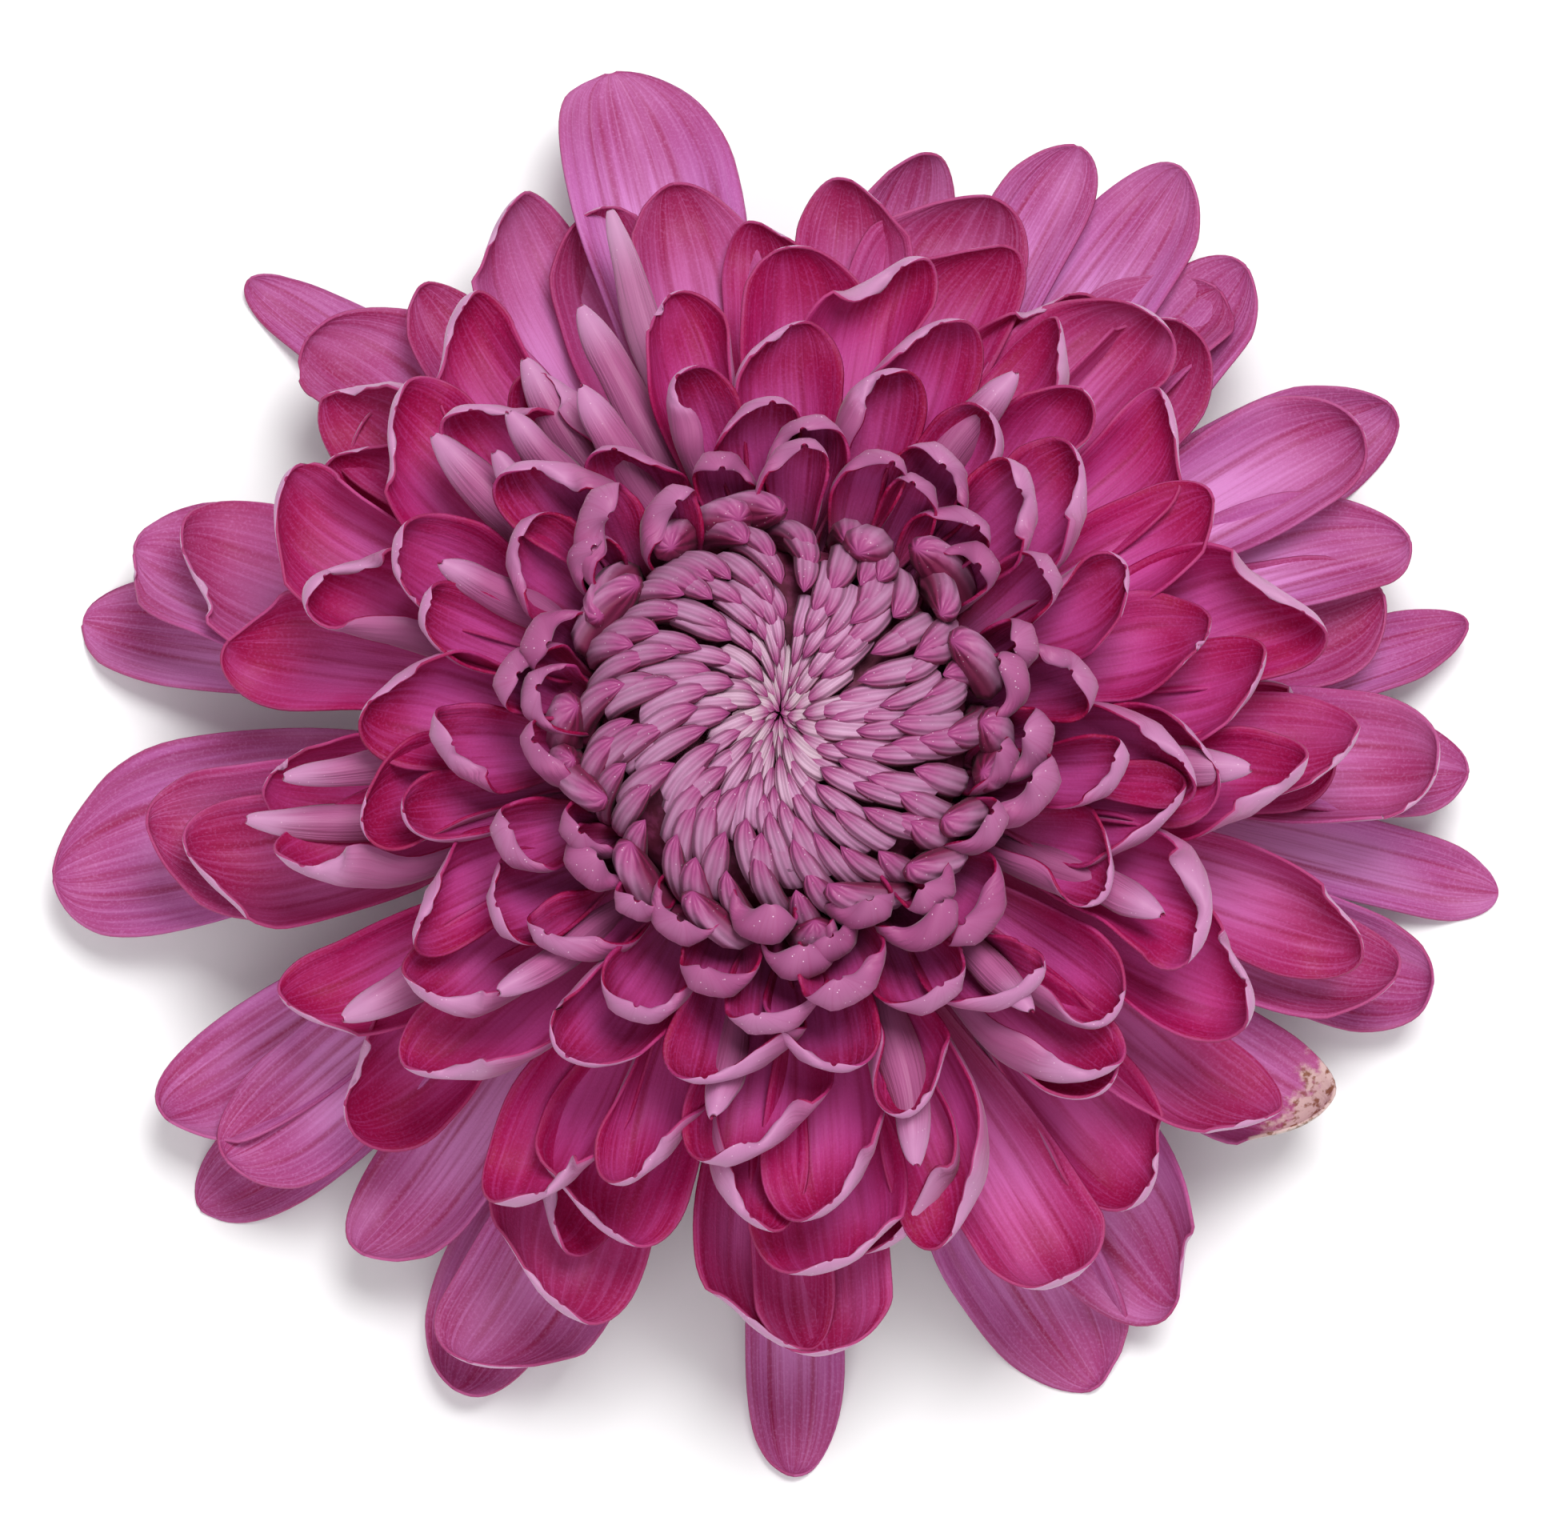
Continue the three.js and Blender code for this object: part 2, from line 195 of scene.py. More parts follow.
def apply_modifier(piece: Piece, kind: str, **settings: object) -> None:
    """Adds a modifier to a piece and applies it.

    Args:
        piece: the mesh object.
        kind: the modifier's type.
        settings: the modifier's properties by name.
    """
    modifier = piece.modifiers.new(kind.title(), kind)
    for name, value in settings.items():
        setattr(modifier, name, value)
    pick(piece)
    bpy.ops.object.modifier_apply(modifier=modifier.name)


def copied(model: Piece, places: Array, traits: dict[str, float | Array]) -> Piece:
    """A copy of a modelled piece with its own mesh, shaped to its place.

    Args:
        model: the piece that repeats.
        places: where each vertex of the copy lies, in metres.
        traits: values kept on the copy's vertices for its material.

    Returns:
        The copy.
    """
    copy = model.copy()
    copy.data = model.data.copy()
    bpy.context.collection.objects.link(copy)
    copy.data.vertices.foreach_set("co", places.ravel())
    for name, value in traits.items():
        attribute = copy.data.attributes.new(name, "FLOAT", "POINT")
        attribute.data.foreach_set("value", np.full(len(places), value, np.float32))
    return copy


def merged(name: str, copies: list[Piece]) -> Piece:
    """Joins copies in one named piece.

    Args:
        name: the piece's name.
        copies: the objects to join.

    Returns:
        The joined piece, smooth shaded.
    """
    pick(*copies)
    bpy.ops.object.join()
    piece = bpy.context.view_layer.objects.active
    piece.name = name
    piece.data.name = name
    bpy.ops.object.shade_smooth()
    return piece


def flat_blade(wide: int, long: int) -> Piece:
    """A flat square with its own map, of so many squares across and along."""
    grid = bpy.ops.mesh.primitive_grid_add
    return added(grid, x_subdivisions=wide, y_subdivisions=long, size=1.0, calc_uvs=True)


def lathed(
    name: str, radius: float, height: float, profile: list[Point], axis: Vector, sides: int = 36
) -> Piece:
    """A closed round body, extruded upwards ring by ring.

    Args:
        name: the piece's name.
        radius: the radius of its foot, in millimetres.
        height: the height of its foot.
        profile: the radius and height of each further ring.
        axis: the foot of the bloom's axis, in metres.
        sides: the number of its sides.

    Returns:
        The body.
    """
    foot = (axis.x, axis.y, height * MM)
    circle = bpy.ops.mesh.primitive_circle_add
    body = added(circle, vertices=sides, radius=radius * MM, fill_type="NGON", location=foot)
    body.name = name
    bpy.ops.object.transform_apply(location=True, rotation=True, scale=True)
    bpy.ops.object.mode_set(mode="EDIT")
    bpy.ops.mesh.select_all(action="SELECT")
    for wide, high in profile:
        bpy.ops.mesh.extrude_region_move(TRANSFORM_OT_translate={"value": (0, 0, (high - height) * MM)})
        share = wide / radius
        bpy.ops.transform.resize(value=(share, share, 1), center_override=(axis.x, axis.y, high * MM))
        radius, height = wide, high
    bpy.ops.mesh.select_all(action="SELECT")
    bpy.ops.mesh.normals_make_consistent(inside=False)
    bpy.ops.object.mode_set(mode="OBJECT")
    bpy.ops.object.shade_smooth_by_angle(angle=SMOOTH_ANGLE)
    return body


def placed(piece: Piece, node: str) -> None:
    """Lets a piece ride on the bloom in the place of a solid node.

    Args:
        piece: the finished piece.
        node: the solid node that it stands for.
    """
    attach(piece, "root")
    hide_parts(node)
    LOG.info("%s: %d faces for %s", piece.name, len(piece.data.polygons), node)


class Value:
    """A socket that Python's operators turn into Math nodes."""

    def __init__(self, tree: "Tree", socket: bpy.types.NodeSocket) -> None:
        """Wraps an output socket of a tree."""
        self.tree = tree
        self.socket = socket

    def _maths(self, operation: str, first: "Value | float", second: "Value | float") -> "Value":
        """Adds one Math node for two operands."""
        return self.tree.node("ShaderNodeMath", {"operation": operation}, {0: first, 1: second})

    def __add__(self, other: "Value | float") -> "Value":
        """The sum."""
        return self._maths("ADD", self, other)

    __radd__ = __add__

    def __sub__(self, other: "Value | float") -> "Value":
        """The difference."""
        return self._maths("SUBTRACT", self, other)

    def __rsub__(self, other: "Value | float") -> "Value":
        """The difference, reflected."""
        return self._maths("SUBTRACT", other, self)

    def __mul__(self, other: "Value | float") -> "Value":
        """The product."""
        return self._maths("MULTIPLY", self, other)

    __rmul__ = __mul__

    def __abs__(self) -> "Value":
        """The size without its sign."""
        return self._maths("ABSOLUTE", self, 0.0)

    def cosine(self) -> "Value":
        """The cosine of an angle in radians."""
        return self._maths("COSINE", self, 0.0)

    def ramp(self, low: float, high: float) -> "Value":
        """A smooth rise from 0 at low to 1 at high."""
        settings = {"interpolation_type": "SMOOTHSTEP"}
        return self.tree.node("ShaderNodeMapRange", settings, {0: self, 1: low, 2: high})


class Tree:
    """A material's node tree, to which nodes are added by one method."""

    def __init__(self, name: str) -> None:
        """Makes an empty material of that name."""
        self.material = bpy.data.materials.new(name)
        self.material.use_nodes = True
        self.tree = self.material.node_tree
        self.tree.nodes.clear()

    def node(
        self, kind: str, settings: dict | None = None, inputs: dict | None = None, output: int | str = 0
    ) -> Value:
        """Adds a node.

        Args:
            kind: the node's type.
            settings: its properties, set first.
            inputs: values or links of its sockets, by name or number.
            output: the output to hand back.

        Returns:
            The output socket, wrapped.
        """
        made = self.tree.nodes.new(kind)
        for name, value in (settings or {}).items():
            setattr(made, name, value)
        for key, value in (inputs or {}).items():
            if isinstance(value, Value):
                self.tree.links.new(value.socket, made.inputs[key])
            elif made.inputs[key].type == "RGBA":
                made.inputs[key].default_value = (*value, 1.0)
            else:
                made.inputs[key].default_value = value
        return Value(self, made.outputs[output] if len(made.outputs) else None)

    def attributes(self, *names: str) -> list[Value]:
        """Numbers kept on the mesh."""
        return [self.node("ShaderNodeAttribute", {"attribute_name": name}, output="Fac") for name in names]

    def place(self) -> Value:
        """Object coordinates."""
        return self.node("ShaderNodeTexCoord", output="Object")

    def uv(self) -> tuple[Value, Value]:
        """Across and along the petal, each from 0 to 1."""
        flat = self.node("ShaderNodeUVMap", {"uv_map": "UVMap"})
        split = self.node("ShaderNodeSeparateXYZ", inputs={0: flat})
        along = Value(self, split.socket.node.outputs[1])
        return split, along

    def vector(self, x: Value | float, y: Value | float, z: Value | float) -> Value:
        """A vector of three numbers."""
        return self.node("ShaderNodeCombineXYZ", inputs={0: x, 1: y, 2: z})

    def noise(self, where: Value, scale: float, detail: float = 2.0) -> Value:
        """A soft noise from 0 to 1 at a place."""
        inputs = {"Vector": where, "Scale": scale, "Detail": detail, "Roughness": 0.55}
        return self.node("ShaderNodeTexNoise", inputs=inputs)

    def bump(self, height: Value, strength: float, depth: float) -> Value:
        """A normal that shows a height as relief of a depth in metres."""
        return self.node("ShaderNodeBump", inputs={"Strength": strength, "Distance": depth, "Height": height})

    def specks(self, dot: Range = (0.05, 0.12)) -> Value:
        """Small round dots, 1 on a dot, whose soft edge is a share of their spacing."""
        inputs = {"Vector": self.place(), "Scale": 1 / SPECK_SPACING}
        near = self.node("ShaderNodeTexVoronoi", {"feature": "F1"}, inputs, output="Distance")
        return 1.0 - near.ramp(*dot)

    def wear(self, colour: Value, along: Value, dry: Colour, brown: Colour) -> Value:
        """Dries the tip of a worn floret.

        Args:
            colour: the floret's own colour.
            along: 0 at the root and 1 at the tip.
            dry: the colour of the dried tip.
            brown: the colour of its bruises.

        Returns:
            The colour with its wear.
        """
        where = self.place()
        (worn,) = self.attributes("worn")
        ragged = self.noise(where, 700.0, 4.0)
        bruise = self.noise(where, 1500.0)
        tissue = self.mix(bruise.ramp(0.48, 0.66), dry, brown)
        reached = (along + (ragged - 0.5) * 0.16).ramp(0.9, 0.94)
        return self.mix(reached * worn.ramp(0.05, 0.5), colour, tissue)

    def mix(self, share: Value | float, first: "Value | Colour", second: "Value | Colour") -> Value:
        """A colour between two others."""
        settings = {"data_type": "RGBA"}
        return self.node("ShaderNodeMix", settings, {0: share, 6: first, 7: second}, output=2)

    def finish(self, **inputs: object) -> Material:
        """Ends the tree in one Principled shader.

        Args:
            inputs: its sockets, with a low line for each space in a name.

        Returns:
            The material.
        """
        named = {name.replace("_", " "): value for name, value in inputs.items()}
        shader = self.node("ShaderNodeBsdfPrincipled", inputs=named)
        self.node("ShaderNodeOutputMaterial", inputs={0: shader})
        return self.material


@dataclass(frozen=True)
class Grain:
    """A soft noise drawn out along a petal, which differs from floret to floret."""

    across: float
    along: float
    shift: float
    layer: float
    detail: float = 2.0

    def on(self, tree: Tree, across: Value, along: Value, luck: Value) -> Value:
        """The noise from 0 to 1 on a petal's own map."""
        where = tree.vector(across * self.across + luck * self.shift, along * self.along, luck * self.layer)
        return tree.noise(where, 1.0, self.detail)


@dataclass(frozen=True)
class PetalFace:
    """The upper face of a ray floret: magenta with parallel veins, a painted highlight down the middle of its
    blade and painted shade towards its tip.
    """

    outer: Colour = (0.46, 0.13, 0.4)
    middle: Colour = (0.36, 0.007, 0.1)
    inner: Colour = (0.29, 0.003, 0.05)
    vein_and_groove_shade: Colour = (0.23, 0.003, 0.042)
    tip: Colour = (0.22, 0.0025, 0.034)
    claw: Colour = (0.58, 0.27, 0.51)
    outer_highlight: Colour = (0.65, 0.28, 0.6)
    inner_highlight: Colour = (0.51, 0.075, 0.33)
    hairline: Colour = (0.4, 0.07, 0.2)
    emitted_glow: Colour = (0.5, 0.0, 0.06)
    dry: Colour = (0.58, 0.42, 0.4)
    brown: Colour = (0.22, 0.1, 0.06)
    streaks: Grain = Grain(12.0, 2.0, 31.0, 7.0, 3.0)
    threads: Grain = Grain(42.0, 3.4, 17.0, 5.0)
    clouds: Grain = Grain(2.2, 3.4, 0.0, 43.0)
    satin_scale: float = 4200.0
    relief: float = 0.0004
    middle_ring: Range = (-0.06, 0.42)
    inner_ring: Range = (0.45, 1.0)
    highlight_ring: Range = (0.02, 0.46)
    closed_ring: Range = (0.45, 0.85)
    lit_half: Range = (0.1, 0.45)
    lit_end: Range = (0.66, 0.92)
    dark_margin: Range = (0.3, 0.5)
    dark_tip: Range = (0.72, 0.95)
    pale_foot: Range = (0.1, 0.62)
    groove_at: float = 0.16
    groove_width: float = 0.035

    def material(self) -> Material:
        """The finish as a material that follows each floret's own map."""
        tree = Tree("petal_face")
        across, _ = tree.uv()
        along, inward, luck = tree.attributes("along", "inward", "luck")
        streaks, threads, clouds = (
            grain.on(tree, across, along, luck) for grain in (self.streaks, self.threads, self.clouds)
        )
        satin = tree.noise(tree.place(), self.satin_scale, 1.0)
        side = abs(across - 0.5)
        closed = inward.ramp(*self.closed_ring)
        # The ground colour, by how far in the floret stands and by the place on its blade.
        paled = tree.mix(inward.ramp(*self.middle_ring), self.outer, self.middle)
        body = tree.mix(inward.ramp(*self.inner_ring), paled, self.inner)
        highlight_colour = tree.mix(inward.ramp(*self.highlight_ring), self.outer_highlight, self.inner_highlight)
        # Painted highlight: the middle of the blade is brighter, fading towards the margins and the tip, less
        # so on inner florets.
        lit = (1.0 - side.ramp(*self.lit_half)) * (1.0 - along.ramp(*self.lit_end)) * (0.9 - inward * 0.4)
        glowing = tree.mix(lit, body, highlight_colour)
        # Darker towards the margins. Towards the tip, the tip's deeper crimson together with painted shade
        # where its hooked end shades the face.
        darker = tree.mix((0.12 + inward * 0.25) * side.ramp(*self.dark_margin), glowing, self.tip)
        tip_shaded = tree.mix(along.ramp(*self.dark_tip) * (0.5 + inward * 0.4), darker, self.tip)
        # Veins, fine threads in the painted highlight colour, and painted shade along the two long grooves.
        lined = tree.mix(streaks.ramp(0.46, 0.7) * (0.54 - inward * 0.16), tip_shaded, self.vein_and_groove_shade)
        threaded = tree.mix((1.0 - threads.ramp(0.3, 0.52)) * 0.25, lined, highlight_colour)
        finer = tree.mix(threads.ramp(0.5, 0.7) * 0.26, threaded, self.vein_and_groove_shade)
        beside = abs(side - (self.groove_at + luck * 0.06)).ramp(0.0, self.groove_width)
        groove_shade = (1.0 - beside) * along.ramp(0.2, 0.5) * (1.0 - along.ramp(0.9, 0.99))
        grooved = tree.mix(groove_shade * 0.55, finer, self.vein_and_groove_shade)
        # Paler patches and a fine satin grain in the painted highlight colour, the pale foot and the hairline
        # edge.
        patchy = tree.mix(clouds.ramp(0.45, 0.75) * 0.3, grooved, highlight_colour)
        pale = (1.0 - along.ramp(*self.pale_foot)) * (0.75 - inward.ramp(0.1, 0.5) * 0.45)
        rooted = tree.mix(pale, patchy, self.claw)
        sheer = tree.mix(satin.ramp(0.45, 0.8) * 0.22, rooted, highlight_colour)
        edge = (side.ramp(0.49, 0.5) + along.ramp(0.994, 1.0)).ramp(0.0, 1.0) * along.ramp(0.6, 0.9)
        edged = tree.mix(edge * (1.0 - closed) * 0.5, sheer, self.hairline)
        return tree.finish(
            Base_Color=tree.wear(edged, along, self.dry, self.brown),
            Roughness=0.42 + threads * 0.16,
            Normal=tree.bump(streaks * 0.6 + threads * 0.3 + satin * 0.16, 0.5, self.relief),
            Specular_IOR_Level=0.12,
            # Painted glow: a faint crimson emission on the outer florets stands in for light passing through
            # the thin petals.
            Emission_Color=tree.mix(closed, self.emitted_glow, (0.0, 0.0, 0.0)),
            Emission_Strength=0.06,
        )


@dataclass(frozen=True)
class PetalReverse:
    """The underside of a ray floret: silvery pink with fine ribs."""

    outer: Colour = (0.53, 0.28, 0.45)
    inner: Colour = (0.46, 0.18, 0.36)
    root: Colour = (0.34, 0.05, 0.18)
    cap: Colour = (0.31, 0.055, 0.18)
    rib: Colour = (0.32, 0.06, 0.18)
    speck: Colour = (0.85, 0.65, 0.78)
    dry: Colour = (0.58, 0.45, 0.42)
    brown: Colour = (0.24, 0.12, 0.07)
    ribs: Grain = Grain(24.0, 2.2, 13.0, 3.0)
    relief: float = 0.0004
    hooded_ring: Range = (0.8, 0.96)
    dark_ring: Range = (0.05, 0.4)
    lip: Range = (0.8, 0.96)
    smooth_lip: Range = (0.84, 0.96)
    powdered_lip: Range = (0.8, 0.94)

    def material(self) -> Material:
        """The finish as a material that follows each floret's own map."""
        tree = Tree("petal_reverse")
        across, _ = tree.uv()
        along, inward, luck = tree.attributes("along", "inward", "luck")
        ribs = self.ribs.on(tree, across, along, luck)
        hooded = inward.ramp(*self.hooded_ring)
        ribbed = 1.0 - along.ramp(*self.smooth_lip)
        silvery = tree.mix(inward.ramp(0.0, 0.8), self.outer, self.inner)
        shaded = (1.0 - along.ramp(*self.lip)) * inward.ramp(*self.dark_ring) * 0.7
        rooted = tree.mix(shaded, silvery, self.root)
        body = tree.mix(hooded * (0.45 + luck * 0.4), rooted, self.cap)
        lined = tree.mix(ribs.ramp(0.46, 0.7) * (ribbed * 0.4 + hooded * 0.25 + 0.08), body, self.rib)
        worn = tree.wear(lined, along, self.dry, self.brown)
        powdery = along.ramp(*self.powdered_lip) * (hooded * 0.4 + 0.5)
        return tree.finish(
            Base_Color=tree.mix(tree.specks() * powdery, worn, self.speck),
            Roughness=0.5,
            Normal=tree.bump(ribs * ribbed, 0.4, self.relief),
            Sheen_Weight=0.12,
            Sheen_Roughness=0.4,
            Specular_IOR_Level=0.3,
        )


@dataclass(frozen=True)
class FingerFinish:
    """A centre floret: mauve with silvery ribs, greenish white at the dimple, with painted shade along its
    flanks.
    """

    body: Colour = (0.34, 0.08, 0.215)
    rib: Colour = (0.6, 0.35, 0.54)
    flank_shade: Colour = (0.16, 0.008, 0.045)
    tip: Colour = (0.33, 0.04, 0.18)
    heart: Colour = (0.5, 0.43, 0.42)
    speck: Colour = (0.85, 0.65, 0.78)
    ribs: int = 9
    mottle: Grain = Grain(9.0, 3.0, 19.0, 5.0, 3.0)
    relief: float = 0.0003
    pale_from: Range = (0.1, 0.5)
    dark_point: Range = (0.04, 0.3)
    powdered_point: Range = (0.2, 0.6)
    heart_ring: Range = (-0.1, 0.36)
    flank_shade_edge: Range = (0.0, 0.92)

    def material(self) -> Material:
        """The finish as a material that follows each finger's own map."""
        tree = Tree("finger")
        around, _ = tree.uv()
        along, outward, luck, ridge = tree.attributes("along", "outward", "luck", "ridge")
        wave = (around * (2.0 * math.pi * self.ribs)).cosine() * 0.5 + 0.5
        mottle = self.mottle.on(tree, around, along, luck)
        paled = along.ramp(*self.pale_from) * (0.55 - outward * 0.25)
        ribbed = tree.mix(wave.ramp(0.3, 0.95) * 0.17 + paled, self.body, self.rib)
        uneven = tree.mix(mottle.ramp(0.45, 0.75) * 0.4, ribbed, self.body)
        pointed = tree.mix((1.0 - along.ramp(*self.dark_point)) * 0.7, uneven, self.tip)
        youth = (1.0 - outward.ramp(*self.heart_ring)) * 0.75 * along.ramp(0.08, 0.5)
        young = tree.mix(youth, pointed, self.heart)
        # Painted shade on the flanks and underside of each finger, where neighbours crowd it, over its deeper
        # magenta edges.
        edged = tree.mix((1.0 - ridge.ramp(*self.flank_shade_edge)) * 0.92, young, self.flank_shade)
        powdery = (1.0 - along.ramp(*self.powdered_point)) * 0.6
        return tree.finish(
            Base_Color=tree.mix(tree.specks() * powdery, edged, self.speck),
            Roughness=0.46,
            Normal=tree.bump(wave, 0.5, self.relief),
            Sheen_Weight=0.02,
            Sheen_Roughness=0.35,
            Specular_IOR_Level=0.3,
        )


@dataclass(frozen=True)
class Flesh:
    """The inside of the head, dark pink and fibrous, with a green rind low down."""

    body: Colour = (0.15, 0.01, 0.045)
    fibre: Colour = (0.26, 0.03, 0.11)
    rind: Colour = (0.21, 0.24, 0.09)
    rind_edge: Range = (0.02, 0.025)
    fibre_scale: float = 1100.0
    relief: float = 0.0003

    def material(self) -> Material:
        """The finish as a material on Object coordinates."""
        tree = Tree("flesh")
        where = tree.place()
        fibres = tree.noise(where, self.fibre_scale, 3.0)
        inside = tree.mix(fibres.ramp(0.4, 0.7), self.body, self.fibre)
        height = tree.node("ShaderNodeSeparateXYZ", inputs={0: where}, output=2)
        colour = tree.mix(height.ramp(*self.rind_edge), self.rind, inside)
        return tree.finish(Base_Color=colour, Roughness=0.7, Normal=tree.bump(fibres, 0.4, self.relief))


@dataclass(frozen=True)
class GreenFinish:
    """The stalk and the bracts: grey green with a pale, papery margin."""

    body: Colour = (0.16, 0.25, 0.07)
    pale: Colour = (0.42, 0.47, 0.25)
    margin: Colour = (0.36, 0.27, 0.16)
    margin_side: Range = (0.34, 0.47)
    margin_end: Range = (0.86, 0.98)
    mottle_scale: float = 900.0
    relief: float = 0.0003

    def material(self, name: str, papery: bool) -> Material:
        """The finish as a material.

        Args:
            name: the material's name.
            papery: whether the piece has the margins of a bract.

        Returns:
            The material.
        """
        tree = Tree(name)
        mottle = tree.noise(tree.place(), self.mottle_scale, 3.0)
        colour = tree.mix(mottle.ramp(0.35, 0.7), self.body, self.pale)
        if papery:
            across, along = tree.uv()
            edge = abs(across - 0.5).ramp(*self.margin_side) + along.ramp(*self.margin_end)
            colour = tree.mix(edge.ramp(0.0, 1.0), colour, self.margin)
        normal = tree.bump(mottle, 0.3, self.relief)
        return tree.finish(Base_Color=colour, Roughness=0.6, Normal=normal, Sheen_Weight=0.2)


@dataclass(frozen=True)
class RayHabit:
    """How ray florets grow, in millimetres, degrees and shares, from the outermost to the innermost."""

    bloom_radius: float = 62.0
    inner_reach: float = 22.0
    hooded_from: float = 0.78
    hooded_span: float = 0.22
    root_radius: Change = Change(11.5, 14.0)
    root_height: Change = Change(19.0, 30.5, 0.9)
    start_slope: Change = Change(4.0, 80.0, 1.1)
    end_slope: Change = Change(-16.0, 70.0, 1.3)
    hook_radius: Change = Change(6.0, 2.4, 0.7)
    tip_slope: Change = Change(27.0, 108.0, 0.54)
    hooded_slope: float = 50.0
    least_hook: float = 0.3
    beak: Change = Change(20.0, 45.0)
    flat_tip: Change = Change(0.8, 0.3)
    cup: Change = Change(38.0, 84.0, 1.1)
    hooded_cup: float = 16.0
    roll: float = 24.0
    twist: Change = Change(6.0, 42.0)
    curl: float = 1.5
    shoulder: Change = Change(0.79, 0.72)
    roundness: Change = Change(2.5, 2.0)
    point: Change = Change(0.5, 0.6)
    lean: Change = Change(5.0, 1.5)
    skew: Change = Change(0.2, 0.6)
    claw_width: float = 0.32
    claw_growth: float = 0.68
    groove_at: float = 0.38
    groove_width: float = 0.11
    groove_depth: Change = Change(0.5, 0.3)
    ripple_height: Change = Change(0.6, 0.3)
    ripples: Range = (1.5, 2.6)
    folded_radius: float = 1.4
    folded_cup: float = 125.0
    folded_roll: float = 135.0
    folded_shoulder: float = 0.6
    folded_roundness: float = 2.2
    folded_hook: float = 0.5
    handle: float = 0.4
    hook_steps: int = 40
    line_steps: int = 200


